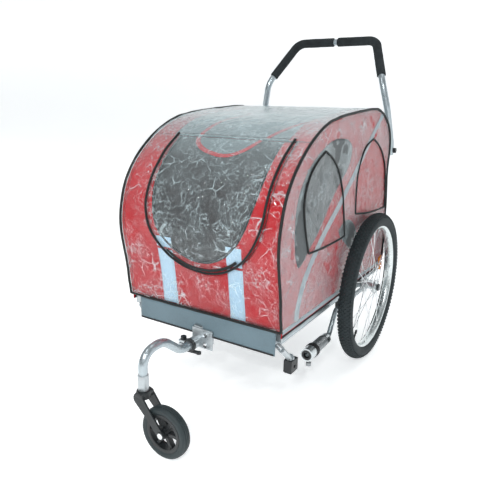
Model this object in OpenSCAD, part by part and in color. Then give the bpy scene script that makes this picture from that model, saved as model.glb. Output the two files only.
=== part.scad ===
// Child bicycle trailer with its stroller kit: folding side hoops, push handle,
// front castor on a bent arm, sliding tow arm and a clear rain cover.
// Frame: +X to the trailer's left side, -Y to the front, +Z up, ground at Z = 0.

/* [Cabin] */
// Outer width of the cabin over the rain cover
cabin_w = 503; // [498:1:506]
// Thickness of the cloth walls
cloth_t = 2.6; // [1.6:0.2:3]
// Thickness of the clear rain cover
cover_t = 1.5; // [1:0.1:1.6]
// Centre of the front flap across the width
flap_x = 22; // [10:1:24]
// Half width of the front flap
flap_r = 188; // [160:1:190]
// Height of the lowest point of the front flap
flap_z = 402; // [390:1:440]

/* [Frame] */
// Outer diameter of the base frame tubes
base_d = 22; // [19:1:23]
// Outer diameter of the folding hoop tubes
hoop_d = 19; // [16:1:19]
// Height of the base frame tubes above the ground
base_z = 250; // [248:1:254]
// Height of the left hoop's hinge line
hinge_zl = 345; // [343:1:347]
// Height of the right hoop's hinge line
hinge_zr = 375; // [374:1:380]
// Gap between the two halves of each roof bar
bar_gap = 24; // [22:1:40]

/* [Wheels] */
// Outer diameter of the main tyres
tyre_d = 500; // [498:1:502]
// Section width of the main tyres
tyre_w = 48; // [40:1:50]
// Distance from the centre to each main wheel's mid plane
track_x = 284; // [284:1:290]
// Spokes in each wheel
spokes_n = 28; // [20:4:36]
// Outer diameter of the castor wheel
castor_d = 134; // [130:1:146]
// Width of the castor wheel
castor_w = 28; // [22:1:29]
// Trail of the castor wheel behind its swivel axis
trail = 68; // [50:1:72]
// Heading of the castor wheel, measured from +X
castor_dir = 0; // [0:1:90]

/* [Handle and tow arm] */
// Outer diameter of the push handle tube
handle_d = 22; // [19:1:22]
// Outer diameter of the foam grips
grip_d = 31; // [27:1:33]
// Outer diameter of the tow tube
tow_d = 16; // [14:1:16]
// Outer diameter of the hitch coupler
coupler_d = 40; // [34:1:42]
// Diameter of the hitch socket
socket_d = 20; // [16:1:22]

/* [Hidden] */
$fn = 48;
e = 0.01;
br = base_d / 2;
hr = hoop_d / 2;
hx = 235;
rail_x = 232;
front_y = -290;
rear_y = 512;
foot_f = -280;
foot_r = 468;
wy = 286;
wz = tyre_d / 2;
bar_z = 756;
bar_ys = [-20, 330];
sw_y = -522;
arm_z = 204;
arm_r = 11.5;
piv_y = 512;
piv_z = 690;
tow_x = 228;
tow_z = 203;
cpl_z = 130;
// side outline of the cabin, front hem over the roof to the rear hem (Y, Z)
OUT = [[-300, 286], [-313, 390], [-330, 493], [-323, 566], [-299, 630], [-249, 694],
       [-172, 752], [-84, 791], [25, 811], [165, 824], [257, 831], [330, 826],
       [400, 800], [448, 760], [470, 705], [466, 623], [488, 489], [499, 390], [500, 276]];

// --- vector and curve helpers ---
function unit(v) = v / norm(v);
function bez(a, b, c, d, t) = 0.5 * (2 * b + (c - a) * t + (2 * a - 5 * b + 4 * c - d) * t * t + (3 * b - a - 3 * c + d) * t * t * t);
function at(p, i) = p[min(max(i, 0), len(p) - 1)];
function smooth(p, n) = concat([for (i = [0:len(p) - 2]) for (k = [0:n - 1])
    bez(at(p, i - 1), p[i], p[i + 1], at(p, i + 2), k / n)], [p[len(p) - 1]]);
function nrm(p, i) = let (d = unit(at(p, i + 1) - at(p, i - 1))) [d[1], -d[0]];
function inset(p, q) = [for (i = [0:len(p) - 1]) p[i] + q * nrm(p, i)];
function part_of(p, a, b) = [for (i = [a:b]) p[i]];
function rev(p) = [for (i = [len(p) - 1:-1:0]) p[i]];
function turn(p, i) = acos(min(1, unit(p[i] - p[i - 1]) * unit(p[i + 1] - p[i])));
function tl(p, R, i) = (i == 0 || i == len(p) - 1) ? 0 : R[i] * tan(turn(p, i) / 2);
P = smooth(OUT, 3);
KH = 18;   // index in P of the flap hinge line
KR = 33;   // index in P of the roof's rear seam
// the flap swings about this line
flap_y0 = P[KH][0];
flap_z0 = P[KH][1];

module rod(a, b, r) {
    d = b - a;
    n = norm(d);
    translate(a) rotate([0, acos(d[2] / n), atan2(d[1], d[0])]) cylinder(h = n, r = r);
}
// a tube of exact cylinders and arcs along 3D points p, bend radius R[i] at each inner point
module tube(p, R, r) {
    n = len(p);
    for (i = [0:n - 2]) {
        d = unit(p[i + 1] - p[i]);
        rod(p[i] + d * tl(p, R, i), p[i + 1] - d * tl(p, R, i + 1), r);
    }
    for (i = [1:n - 2]) {
        d1 = unit(p[i] - p[i - 1]);
        d2 = unit(p[i + 1] - p[i]);
        th = turn(p, i);
        nn = unit(cross(d1, d2));
        c = p[i] + unit(d2 - d1) * (R[i] / cos(th / 2));
        e1 = unit(p[i] - d1 * tl(p, R, i) - c);
        multmatrix([[e1[0], d1[0], nn[0], c[0]], [e1[1], d1[1], nn[1], c[1]], [e1[2], d1[2], nn[2], c[2]], [0, 0, 0, 1]])
            rotate_extrude(angle = th) translate([R[i], 0]) circle(r);
    }
}
// the same route as points, for tubes that bend in several planes
function arc(p, R, i) = let (d1 = unit(p[i] - p[i - 1]), d2 = unit(p[i + 1] - p[i]), th = turn(p, i),
    c = p[i] + unit(d2 - d1) * (R[i] / cos(th / 2)), e1 = unit(p[i] - d1 * tl(p, R, i) - c), m = max(1, ceil(th / 9)))
    [for (k = [0:m]) c + R[i] * (e1 * cos(th * k / m) + d1 * sin(th * k / m))];
function route(p, R) = concat([p[0]], [for (i = [1:len(p) - 2]) each arc(p, R, i)], [p[len(p) - 1]]);
function tang(q, i) = unit((i > 0 ? unit(q[i] - q[i - 1]) : [0, 0, 0]) + (i < len(q) - 1 ? unit(q[i + 1] - q[i]) : [0, 0, 0]));
function perp(v, t) = unit(v - (v * t) * t);
function carry(q, i = 0, v = [1, 0.02, 0.01]) = i >= len(q) ? [] : let (u = perp(v, tang(q, i))) concat([u], carry(q, i + 1, u));
// swept tube with n sides
module sweep(p, R, r, n = 16) {
    q = route(p, R);
    u = carry(q, 0, abs(tang(q, 0)[0]) > 0.9 ? [0, 1, 0] : [1, 0.02, 0.01]);
    pts = [for (i = [0:len(q) - 1]) let (t = tang(q, i), w = cross(t, u[i])) for (k = [0:n - 1])
        q[i] + r * (u[i] * cos(360 * k / n) + w * sin(360 * k / n))];
    faces = concat([[for (k = [0:n - 1]) k]],
        [for (i = [0:len(q) - 2]) for (k = [0:n - 1]) [i * n + k, (i + 1) * n + k, (i + 1) * n + (k + 1) % n, i * n + (k + 1) % n]],
        [[for (k = [n - 1:-1:0]) (len(q) - 1) * n + k]]);
    polyhedron(pts, faces, convexity = 6);
}
// plate lying in a YZ plane from x = a to x = b
module yz(a, b) { translate([a, 0, 0]) rotate([90, 0, 90]) linear_extrude(b - a) children(); }
// plate lying in an XZ plane from y = a to y = b
module xz(a, b) { translate([0, b, 0]) rotate([90, 0, 0]) linear_extrude(b - a) children(); }
// straight link with round ends, in 2D
module taper(a, b, ra, rb) {
    d = (b - a) / norm(b - a);
    n = [-d[1], d[0]];
    translate(a) circle(ra);
    translate(b) circle(rb);
    polygon([a + n * (ra - 0.4), b + n * (rb - 0.4), b - n * (rb - 0.4), a - n * (ra - 0.4)]);
}
module link(a, b, w) {
    d = b - a;
    translate(a) circle(w / 2);
    translate(b) circle(w / 2);
    translate(a) rotate(atan2(d[1], d[0])) translate([0, -w / 2]) square([norm(d), w]);
}
module both() { children(); mirror([1, 0, 0]) children(); }

// --- base frame ---
module front_tube_solid() {
    tube([[-rail_x, -245, base_z], [-rail_x, front_y, base_z], [rail_x, front_y, base_z], [rail_x, -245, base_z]], [0, 30, 30, 0], br);
}
module rear_tube_solid() {
    tube([[-rail_x, 465, base_z], [-rail_x, rear_y, base_z], [rail_x, rear_y, base_z], [rail_x, 465, base_z]], [0, 24, 24, 0], br);
}
module rail(s) {
    difference() {
        rod([s * rail_x, -245, base_z], [s * rail_x, 465, base_z], br);
        rod([s * 200, wy, base_z], [s * 260, wy, base_z], 6);
    }
}
module base_front_tube() { color("silver") front_tube_solid(); }
module base_rail_left() { color("silver") rail(-1); }
module base_rail_right() { color("silver") rail(1); }
module base_cross_tubes() {
    color("silver") {
        rear_tube_solid();
        difference() {
            rod([-rail_x, wy, base_z], [rail_x, wy, base_z], br - 1);
            both() rod([rail_x, 200, base_z], [rail_x, 400, base_z], br);
            both() rod([195, wy, base_z], [260, wy, base_z], 6);
        }
        difference() {
            rod([-rail_x, -20, base_z], [rail_x, -20, base_z], br - 1);
            both() rod([rail_x, -100, base_z], [rail_x, 60, base_z], br);
        }
    }
}
module floor_board() {
    color("dimgray") translate([-218, -276, base_z + br]) cube([436, 774, 4]);
}
// upright lug that carries one hoop foot
module lug(s, y, z) {
    difference() {
        xz(y - 4, y + 4) difference() {
            link([s * hx, base_z + 6], [s * hx, z], 21);
            translate([s * hx, z]) circle(4.06);
        }
        rod([s * rail_x, -245, base_z], [s * rail_x, 480, base_z], br);
        front_tube_solid();
        rear_tube_solid();
        translate([s * hx - 20, y - 10, 230]) cube([40, 20, base_z + 4 - 230]);
    }
}
module hinge_lugs() {
    color("silver") {
        lug(-1, foot_f, hinge_zl);
        lug(-1, foot_r, hinge_zl);
        lug(1, foot_f, hinge_zr);
        lug(1, foot_r, hinge_zr);
    }
}
module axle_sleeves() {
    color("silver") both() difference() {
        union() {
            rod([rail_x, wy, base_z], [254, wy, base_z], 12);
            // gusset plate along the rail
            translate([242, wy - 38, base_z - 9]) cube([4, 76, 21]);
        }
        rod([rail_x, 200, base_z], [rail_x, 400, base_z], br);
        rod([200, wy, base_z], [260, wy, base_z], 6);
    }
}
module wheel_axles() {
    color("gray") both() {
        rod([212, wy, wz], [311, wy, wz], 6);
        rod([309.5, wy, wz], [314, wy, wz], 12);
        rod([314, wy, wz], [317.5, wy, wz], 9);
    }
}
module rear_posts() {
    color("silver") both() difference() {
        union() {
            rod([220, rear_y, base_z + 2], [220, rear_y, 702], 9.5);
            translate([220, rear_y, 702]) sphere(9.5);
        }
        rear_tube_solid();
        rod([205, piv_y, piv_z], [235, piv_y, piv_z], 4.06);
    }
}
module corner_post() {
    color("silver") difference() {
        union() {
            rod([224, -279, base_z - 2], [247, -281, base_z - 16], 9);
            rod([247, -281, base_z - 16], [250, -236, 190], 8);
            rod([250, -233, 190], [250, -239, 197], 10.5);
        }
        front_tube_solid();
        rod([rail_x, -245, base_z], [rail_x, 0, base_z], br);
    }
}
module foot_block() {
    color("black") difference() {
        union() {
            translate([238, -250, 156]) cube([24, 36, 34]);
            translate([240, -248, 153]) cube([20, 32, 4]);
        }
        rod([230, -232, 171], [270, -232, 171], 5);
    }
}
module tow_guides() {
    color("dimgray") for (y = [148, 206]) difference() {
        translate([tow_x - 12, y, tow_z - 12]) cube([24, 20, 56]);
        rod([rail_x, 0, base_z], [rail_x, 300, base_z], br);
        rod([tow_x, y - 5, tow_z], [tow_x, y + 25, tow_z], tow_d / 2 + 0.06);
    }
}
// --- castor bracket ---
module castor_bracket() {
    color("silver") difference() {
        union() {
            rod([0, -345, arm_z], [0, -276, arm_z], 17);
            translate([-16, -309, 186]) cube([66, 4, 56]);
            translate([-12, -306, arm_z]) cube([24, 28, 42]);
            // clamp ears on the trailer's right side of the sleeve
            translate([-36, -345, arm_z + 2]) cube([30, 20, 6]);
            translate([-36, -345, arm_z - 8]) cube([30, 20, 6]);
            translate([36, -309, 200]) cube([10, 14, 34]);
        }
        rod([0, -350, arm_z], [0, -270, arm_z], arm_r + 0.06);
        translate([-40, -350, arm_z - 1.6]) cube([40, 32, 3.2]);
        rod([-26, -335, 180], [-26, -335, 230], 3.1);
        rod([30, -320, 228], [30, -290, 228], 3.1);
        rod([30, -320, 198], [30, -290, 198], 3.1);
        front_tube_solid();
    }
}
module bracket_bolts() {
    color("silver") for (z = [198, 228]) {
        rod([30, -313.5, z], [30, -300, z], 3.1);
        rod([30, -314, z], [30, -309, z], 6);
    }
}
module clamp_lever() {
    color("black") {
        rod([-26, -335, 188], [-26, -335, 218], 3);
        rod([-26, -335, 212.2], [-26, -335, 221], 8);
        rod([-26, -335, 179], [-26, -335, 195.8], 9);
        translate([-26, -335, 180]) rotate(atan2(4, 48)) translate([0, -5.5, 0]) cube([48, 11, 5]);
        rod([22, -331, 179.5], [22, -331, 185.5], 7);
    }
}

// --- castor ---
module castor_arm() {
    color("silver") difference() {
        union() {
            sweep([[0, -279, arm_z], [0, -380, arm_z], [0, -450, 259], [0, sw_y, 252], [0, sw_y, 170]], [0, 60, 66, 40, 0], arm_r, 20);
            rod([0, sw_y, 158.5], [0, sw_y, 200], arm_r + 1.5);
        }
        rod([0, sw_y, 150], [0, sw_y, 199], 6.06);
    }
}
module castor_frame() { translate([0, sw_y, 0]) rotate([0, 0, castor_dir]) children(); }
module castor_fork() {
    color("black") castor_frame() {
        difference() {
            union() {
                rod([0, 0, 138], [0, 0, 158], 18);
                for (s = [-1, 1]) translate([0, s > 0 ? castor_w / 2 + 2 : -castor_w / 2 - 7.5, 0]) xz(0, 5.5) taper([0, 143], [trail, castor_d / 2], 15, 11);
                translate([-8, -castor_w / 2 - 7.5, 144]) cube([16, castor_w + 15, 12]);
            }
            rod([0, 0, 130], [0, 0, 170], 6);
            rod([trail, -40, castor_d / 2], [trail, 40, castor_d / 2], 4);
        }
    }
}
module castor_bolts() {
    color("silver") castor_frame() {
        rod([0, 0, 137], [0, 0, 198], 6);
        rod([trail, -castor_w / 2 - 8.5, castor_d / 2], [trail, castor_w / 2 + 8.5, castor_d / 2], 4);
        for (s = [-1, 1]) rod([trail, s * (castor_w / 2 + 7.5), castor_d / 2], [trail, s * (castor_w / 2 + 9), castor_d / 2], 7.5);
    }
}
module castor_tyre() {
    color("#202022") castor_frame() translate([trail, 0, castor_d / 2]) rotate([90, 0, 0])
        rotate_extrude() difference() {
            union() {
                translate([castor_d / 2 - 14, 0]) circle(castor_w / 2);
                translate([49, -castor_w / 2 + 3]) square([castor_d / 2 - 14 - 49, castor_w - 6]);
            }
            translate([20, -20]) square([29, 40]);
        }
}
module castor_rim() {
    color("#2a2a2c") castor_frame() translate([trail, 0, castor_d / 2]) rotate([90, 0, 0]) difference() {
        union() {
            translate([0, 0, -11]) rotate_extrude() translate([41, 0]) square([8, 22]);
            translate([0, 0, -14]) cylinder(h = 28, r = 12);
            for (a = [0:60:300]) rotate([0, 0, a]) translate([8, -4, -7]) cube([36, 8, 14]);
        }
        translate([0, 0, -20]) cylinder(h = 40, r = 4.06);
    }
}
// --- main wheels ---
module main_tyre(s) {
    translate([s * track_x, wy, wz]) rotate([0, 90, 0]) rotate_extrude($fn = 96) difference() {
        translate([tyre_d / 2 - tyre_w / 2, 0]) circle(tyre_w / 2);
        translate([150, -40]) square([61, 80]);
    }
}
module main_rim(s) {
    translate([s * track_x, wy, wz]) rotate([0, 90, 0]) rotate_extrude($fn = 96)
        polygon([[211, -14], [211, 14], [206, 14], [197, 6], [196, 0], [197, -6], [206, -14]]);
    // valve stem
    a = -40;
    translate([s * track_x, wy, wz]) rotate([a, 0, 0]) translate([0, 0, -200]) cylinder(h = 38, r = 3);
}
module main_hub(s) {
    difference() {
        union() {
            rod([s * 257, wy, wz], [s * 308.5, wy, wz], 12.5);
            rod([s * 264, wy, wz], [s * 267.5, wy, wz], 24);
            rod([s * 300, wy, wz], [s * 303.5, wy, wz], 24);
        }
        rod([s * 250, wy, wz], [s * 320, wy, wz], 6.06);
    }
}
module main_spokes(s) {
    n = spokes_n / 4;
    for (f = [0, 1]) for (k = [0:n - 1]) for (d = [-1, 1]) {
        a = k * 360 / n + f * 180 / n;
        xh = s * (f == 0 ? 265.7 : 301.7) + d * 3.2;
        xr = s * track_x + s * (f == 0 ? -5 : 5) + d * 1.2;
        ar = a + d * (90 - 360 / spokes_n / 2);
        rod([xh, wy + 21.5 * cos(a), wz + 21.5 * sin(a)], [xr, wy + 197.5 * cos(ar), wz + 197.5 * sin(ar)], 1);
    }
}
module wheel_reflector(s) {
    translate([s * (track_x - 16), wy, wz]) rotate([-72, 0, 0]) translate([-3, -24, 138]) cube([6, 48, 22]);
}
module tyre_left() { color("#232325") main_tyre(-1); }
module tyre_right() { color("#232325") main_tyre(1); }
module rim_left() { color("silver") main_rim(-1); }
module rim_right() { color("silver") main_rim(1); }
module hub_left() { color("silver") main_hub(-1); }
module hub_right() { color("silver") main_hub(1); }
module spokes_left() { color("silver") main_spokes(-1); }
module spokes_right() { color("silver") main_spokes(1); }
module reflector_left() { color("orange") wheel_reflector(-1); }
module reflector_right() { color("orange") wheel_reflector(1); }

// --- folding hoops ---
module hoop(s, z) {
    sweep([for (q = [[foot_f, z + 20], [-310, 560], [-172, 735], [20, 787], [300, 808], [446, 738], [440, 620], [469, 490], [foot_r, z + 20]]) [s * hx, q[0], q[1]]],
         [0, 180, 170, 200, 150, 66, 100, 100, 0], hr);
}
module fittings(s, z) {
    // hinge clevis at each foot
    for (y = [foot_f, foot_r]) difference() {
        union() {
            for (q = [-9.8, 5.2]) xz(y + q, y + q + 4.6) link([s * hx, z], [s * hx, z + 24], 21);
            translate([s * hx - 10.5, y - 9.8, z + 15]) cube([21, 19.6, 22]);
        }
        xz(y - 20, y + 20) translate([s * hx, z]) circle(4);
    }
    // drop ears under the roof tube that carry the roof bars
    for (y = bar_ys) difference() {
        for (q = [-10, 6]) xz(y + q, y + q + 4) link([s * hx, bar_z], [s * hx, y < 0 ? 772 : 788], 18);
        xz(y - 20, y + 20) translate([s * hx, bar_z]) circle(3);
    }
}
module pins(s, z) {
    for (y = [foot_f, foot_r]) {
        rod([s * hx, y - 12.5, z], [s * hx, y + 12.5, z], 4);
        rod([s * hx, y - 14.5, z], [s * hx, y - 9.8, z], 7);
    }
    for (y = bar_ys) {
        rod([s * hx, y - 12, bar_z], [s * hx, y + 12, bar_z], 3);
        rod([s * hx, y - 13.5, bar_z], [s * hx, y - 10, bar_z], 5.5);
    }
}
module half_bars(s) {
    for (y = bar_ys) {
        difference() {
            union() {
                xz(y - 5, y + 5) link([s * hx, bar_z], [s * (hx - 22), bar_z], 15);
                rod([s * (hx - 20), y, bar_z], [s * bar_gap / 2, y, bar_z], 8);
            }
            xz(y - 20, y + 20) translate([s * hx, bar_z]) circle(3.06);
        }
    }
}
module hoop_tube_left() { color("silver") hoop(-1, hinge_zl); }
module hoop_tube_right() { color("silver") hoop(1, hinge_zr); }
module hoop_fittings_left() { color("dimgray") fittings(-1, hinge_zl); }
module hoop_fittings_right() { color("dimgray") fittings(1, hinge_zr); }
module hoop_pins_left() { color("gray") pins(-1, hinge_zl); }
module hoop_pins_right() { color("gray") pins(1, hinge_zr); }
module roof_bars_left() { color("silver") half_bars(-1); }
module roof_bars_right() { color("silver") half_bars(1); }

// --- cloth walls ---
xw = cabin_w / 2 - cover_t - 0.4;          // outer face of the side cloth
module side_cloth(s, z0, z1) {
    a = s > 0 ? xw - cloth_t : -xw;
    intersection() {
        yz(a, a + cloth_t) polygon(inset(P, 9));
        translate([-400, -500, z0]) cube([800, 1200, z1 - z0]);
    }
}
module side_cover(s, z0) {
    a = s > 0 ? cabin_w / 2 - cover_t : -cabin_w / 2;
    intersection() {
        yz(a, a + cover_t) polygon(inset(P, 5));
        translate([-400, -500, z0]) cube([800, 1200, 900]);
    }
}
module side_panel_left() { color("firebrick") side_cloth(-1, hinge_zl + 2, 900); }
module side_panel_right() { color("firebrick") side_cloth(1, hinge_zr + 2, 900); }
module side_skirts() {
    color("firebrick") {
        side_cloth(-1, 268, hinge_zl - 2);
        side_cloth(1, 268, hinge_zr - 2);
    }
}
module rain_cover_left() { color([0.85, 0.9, 0.92, 0.4]) side_cover(-1, hinge_zl + 2); }
module rain_cover_right() { color([0.85, 0.9, 0.92, 0.4]) side_cover(1, hinge_zr + 2); }
// band of the outline between two insets, from index a to b, across the cabin
module band(a, b, i0, i1, w) {
    yz(-w, w) polygon(concat(part_of(inset(P, i0), a, b), rev(part_of(inset(P, i1), a, b))));
}
// U shape of the flap, grown by g
module flap_shape(g, top) {
    intersection() {
        xz(-400, -100) {
            translate([flap_x, flap_z + flap_r]) circle(flap_r + g, $fn = 96);
            translate([flap_x - flap_r - g, flap_z + flap_r]) square([2 * (flap_r + g), 300]);
        }
        translate([-300, -450, 300]) cube([600, 450, top - 300]);
    }
}
module front_panel() {
    color("firebrick") difference() {
        band(0, KH, 7, 7 + cloth_t, xw - 4);
        flap_shape(0, flap_z0 + 20);
    }
}
module roof_panel() { color("lightgray") band(KH, KR, 7, 7 + cloth_t, xw - 4); }
module rear_panel() { color("firebrick") band(KR, len(P) - 1, 7, 7 + cloth_t, xw - 4); }
module rain_cover() {
    color([0.85, 0.9, 0.92, 0.4]) difference() {
        band(0, len(P) - 1, 0, cover_t, cabin_w / 2 - cover_t - 0.3);
        flap_shape(0, flap_z0 - 0.5);
    }
}
module flap_panel() {
    color("dimgray") intersection() {
        band(2, KH, 7, 7 + cloth_t, xw - 4);
        flap_shape(-1.5, flap_z0 - 9);
    }
}
module flap_cover() {
    color([0.85, 0.9, 0.92, 0.4]) intersection() {
        band(2, KH, 0, cover_t, cabin_w / 2 - cover_t - 0.3);
        flap_shape(-1.5, flap_z0 - 2.5);
    }
}
module front_band() {
    color("slategray") difference() {
        translate([-210, -304.6, 222]) cube([450, 3, 62]);
        translate([-14, -310, 210]) cube([28, 10, 38]);
        translate([13, -310, 210]) cube([35, 10, 26]);
    }
}
// --- seat ---
module seat_cushion() { color("dimgray") translate([-185, 70, base_z + br + 4]) cube([370, 250, 53]); }
module seat_back() {
    color("dimgray") yz(-185, 185) polygon([[328, base_z + br + 4], [362, base_z + br + 4], [404, 640], [372, 644]]);
}
module harness() {
    color("black") {
        for (s = [-1, 1]) for (q = [-95, 95]) {
            translate([q + s * 40 - 12, 0, 0]) yz(0, 24) polygon([[366, 600], [363.2, 600], [331.8, 330], [334.6, 330]]);
        }
        for (q = [-95, 95]) translate([q - 55, 190, 318.2]) cube([110, 26, 3]);
        for (q = [-95, 95]) translate([q - 18, 182, 321.2]) cube([36, 42, 9]);
    }
}
// --- push handle ---
HR = [[243, 512, 674], [243, 506, 715], [238, 441, 835], [219, 427, 915], [150, 529.8, 1062]];
HL = [for (i = [4:-1:0]) [-HR[i][0], HR[i][1], HR[i][2]]];
module handle_tube() {
    color("silver") difference() {
        sweep(concat(HR, HL), [0, 60, 60, 70, 40, 40, 70, 60, 60, 0], handle_d / 2);
        both() rod([225, piv_y, piv_z], [260, piv_y, piv_z], 4);
    }
}
module grips() {
    d = unit(HR[4] - HR[3]);
    color("#1c1c1e") for (m = [1, -1]) let (g = [HR[3] + d * 30, HR[4], [6, HR[4][1], HR[4][2]]], f = [for (v = g) [m * v[0], v[1], v[2]]]) difference() {
        sweep(f, [0, 40, 0], grip_d / 2);
        sweep(concat([f[0] - [m * d[0], d[1], d[2]] * 5], [f[1]], [f[2] - [m * 5, 0, 0]]), [0, 40, 0], handle_d / 2 + 0.02);
    }
}
module handle_knobs() {
    color("#1c1c1e") both() {
        rod([208, piv_y, piv_z], [256, piv_y, piv_z], 4);
        rod([254.4, piv_y, piv_z], [262, piv_y, piv_z], 9);
    }
}
// --- tow arm ---
module tow_tube() {
    color("silver") sweep([[tow_x, 57, cpl_z], [tow_x, 78, cpl_z], [tow_x, 126, tow_z], [tow_x, 470, tow_z]], [0, 24, 24, 0], tow_d / 2);
}
module tow_spring() {
    n = 8;
    color("silver") translate([tow_x, -34, cpl_z]) rotate([-90, 0, 0]) rotate_extrude()
        polygon(concat([[0, 0]], [for (i = [0:2 * n]) [i % 2 == 0 ? 14.5 : 18, 3 + i * 64 / (2 * n)]], [[0, 70]]));
}
module coupler() {
    color("silver") difference() {
        union() {
            rod([tow_x, -84, cpl_z], [tow_x, -34, cpl_z], coupler_d / 2);
            rod([tow_x, 36, cpl_z], [tow_x, 57, cpl_z], 17);
        }
        rod([tow_x, -85, cpl_z], [tow_x, -50, cpl_z], socket_d / 2);
        rod([tow_x, -66, cpl_z - 30], [tow_x, -66, cpl_z], 4.06);
    }
}
module hitch_plunger() {
    color("gray") {
        rod([tow_x, -66, cpl_z - 34], [tow_x, -66, cpl_z - 11], 4);
        rod([tow_x, -66, cpl_z - 40], [tow_x, -66, cpl_z - 30], 8);
    }
}

base_front_tube();
base_rail_left();
base_rail_right();
base_cross_tubes();
floor_board();
hinge_lugs();
axle_sleeves();
wheel_axles();
rear_posts();
corner_post();
foot_block();
tow_guides();
castor_bracket();
bracket_bolts();
clamp_lever();
castor_arm();
castor_fork();
castor_bolts();
castor_tyre();
castor_rim();
tyre_left();
tyre_right();
rim_left();
rim_right();
hub_left();
hub_right();
spokes_left();
spokes_right();
reflector_left();
reflector_right();
hoop_tube_left();
hoop_tube_right();
hoop_fittings_left();
hoop_fittings_right();
hoop_pins_left();
hoop_pins_right();
roof_bars_left();
roof_bars_right();
side_panel_left();
side_panel_right();
side_skirts();
rain_cover_left();
rain_cover_right();
front_panel();
roof_panel();
rear_panel();
rain_cover();
flap_panel();
flap_cover();
front_band();
seat_cushion();
seat_back();
harness();
handle_tube();
grips();
handle_knobs();
tow_tube();
tow_spring();
coupler();
hitch_plunger();
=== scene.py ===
import bpy
import math
import random
import numpy as np
from mathutils import Matrix, Vector
from mathutils.geometry import delaunay_2d_cdt
from mathutils.kdtree import KDTree


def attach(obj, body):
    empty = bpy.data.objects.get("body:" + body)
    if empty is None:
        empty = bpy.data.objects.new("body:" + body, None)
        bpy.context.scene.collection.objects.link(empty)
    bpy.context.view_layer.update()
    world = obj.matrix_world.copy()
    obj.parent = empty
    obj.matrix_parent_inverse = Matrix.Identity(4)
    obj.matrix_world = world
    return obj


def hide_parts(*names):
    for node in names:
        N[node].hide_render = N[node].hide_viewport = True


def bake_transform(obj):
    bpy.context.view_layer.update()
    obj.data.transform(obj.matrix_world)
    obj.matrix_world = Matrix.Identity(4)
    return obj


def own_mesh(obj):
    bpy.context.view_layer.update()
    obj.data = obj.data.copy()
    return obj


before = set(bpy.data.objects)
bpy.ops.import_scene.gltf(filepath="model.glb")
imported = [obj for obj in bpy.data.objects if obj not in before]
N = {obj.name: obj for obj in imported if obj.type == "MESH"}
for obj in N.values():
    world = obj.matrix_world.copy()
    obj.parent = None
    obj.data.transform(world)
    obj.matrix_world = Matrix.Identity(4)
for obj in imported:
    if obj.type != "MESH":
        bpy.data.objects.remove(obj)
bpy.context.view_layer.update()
SC = bpy.context.scene
rng = random.Random(11)

# ---------------------------------------------------------------- camera
yaw, pitch, roll = math.radians(31.1989), math.radians(15.4696), math.radians(1.4420)
fwd = Vector((-math.sin(yaw) * math.cos(pitch), math.cos(yaw) * math.cos(pitch), -math.sin(pitch)))
right0 = Vector((math.cos(yaw), math.sin(yaw), 0))
up0 = right0.cross(fwd)
cr = right0 * math.cos(roll) + up0 * math.sin(roll)
cu = -right0 * math.sin(roll) + up0 * math.cos(roll)
cam_d = bpy.data.cameras.new("cam")
cam = bpy.data.objects.new("cam", cam_d)
SC.collection.objects.link(cam)
M = Matrix.Identity(4)
for i in range(3):
    M[i][0], M[i][1], M[i][2] = cr[i], cu[i], -fwd[i]
M[0][3], M[1][3], M[2][3] = 0.783107, -1.334030, 0.820662
cam.matrix_world = M
cam_d.sensor_width = 36
cam_d.lens = 36.727
cam_d.clip_end = 60
SC.camera = cam
SC.view_settings.view_transform = "Standard"
SC.view_settings.look = "None"

# ---------------------------------------------------------------- cabin outline, metres
OUT = [(-300, 286), (-313, 390), (-330, 493), (-323, 566), (-299, 630), (-249, 694), (-172, 752), (-84, 791), (25, 811),
       (165, 824), (257, 831), (330, 826), (400, 800), (448, 760), (470, 705), (466, 623), (488, 489), (499, 390), (500, 276)]


def catmull(pts, n, closed=False):
    pts = [np.array(p, float) for p in pts]
    m = len(pts)
    out = []
    for i in range(m if closed else m - 1):
        if closed:
            a, b, c, d = pts[i - 1], pts[i], pts[(i + 1) % m], pts[(i + 2) % m]
        else:
            a, b, c, d = pts[max(i - 1, 0)], pts[i], pts[i + 1], pts[min(i + 2, m - 1)]
        for k in range(n):
            t = k / n
            out.append(0.5 * (2 * b + (c - a) * t + (2 * a - 5 * b + 4 * c - d) * t * t + (3 * b - a - 3 * c + d) * t ** 3))
    if not closed:
        out.append(pts[-1])
    return np.array(out)


SEG = 24
C = catmull(OUT, SEG) * 0.001                     # (y, z)
T = np.gradient(C, axis=0)
T /= np.linalg.norm(T, axis=1)[:, None]
NRM = np.stack([T[:, 1], -T[:, 0]], 1)            # inward
S = np.concatenate([[0], np.cumsum(np.linalg.norm(np.diff(C, axis=0), axis=1))])
S_END = S[-1]
S_HINGE = S[6 * SEG]
S_ROOF = S[11 * SEG]


def curve_at(s, d=0.0):
    y = np.interp(s, S, C[:, 0] + d * NRM[:, 0])
    z = np.interp(s, S, C[:, 1] + d * NRM[:, 1])
    return y, z


def s_of_z(z):
    k = 6 * SEG + 1
    return np.interp(z, C[:k, 1], S[:k])


def s_of_y(y):
    k0, k1 = 5 * SEG, 13 * SEG
    return np.interp(y, C[k0:k1, 0], S[k0:k1])


def top3d(d):
    """(x, s) on the front, roof and rear surface at inset d -> points and outward normals"""
    def f(q):
        y, z = curve_at(q[:, 1], d)
        ny = np.interp(q[:, 1], S, -NRM[:, 0])
        nz = np.interp(q[:, 1], S, -NRM[:, 1])
        nn = np.stack([np.zeros(len(q)), ny, nz], 1)
        nn /= np.linalg.norm(nn, axis=1)[:, None]
        return np.stack([q[:, 0], y, z], 1), nn
    return f


def side3d(x):
    def f(q):
        nn = np.zeros((len(q), 3))
        nn[:, 0] = 1 if x > 0 else -1
        return np.stack([np.full(len(q), x), q[:, 0], q[:, 1]], 1), nn
    return f


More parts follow.
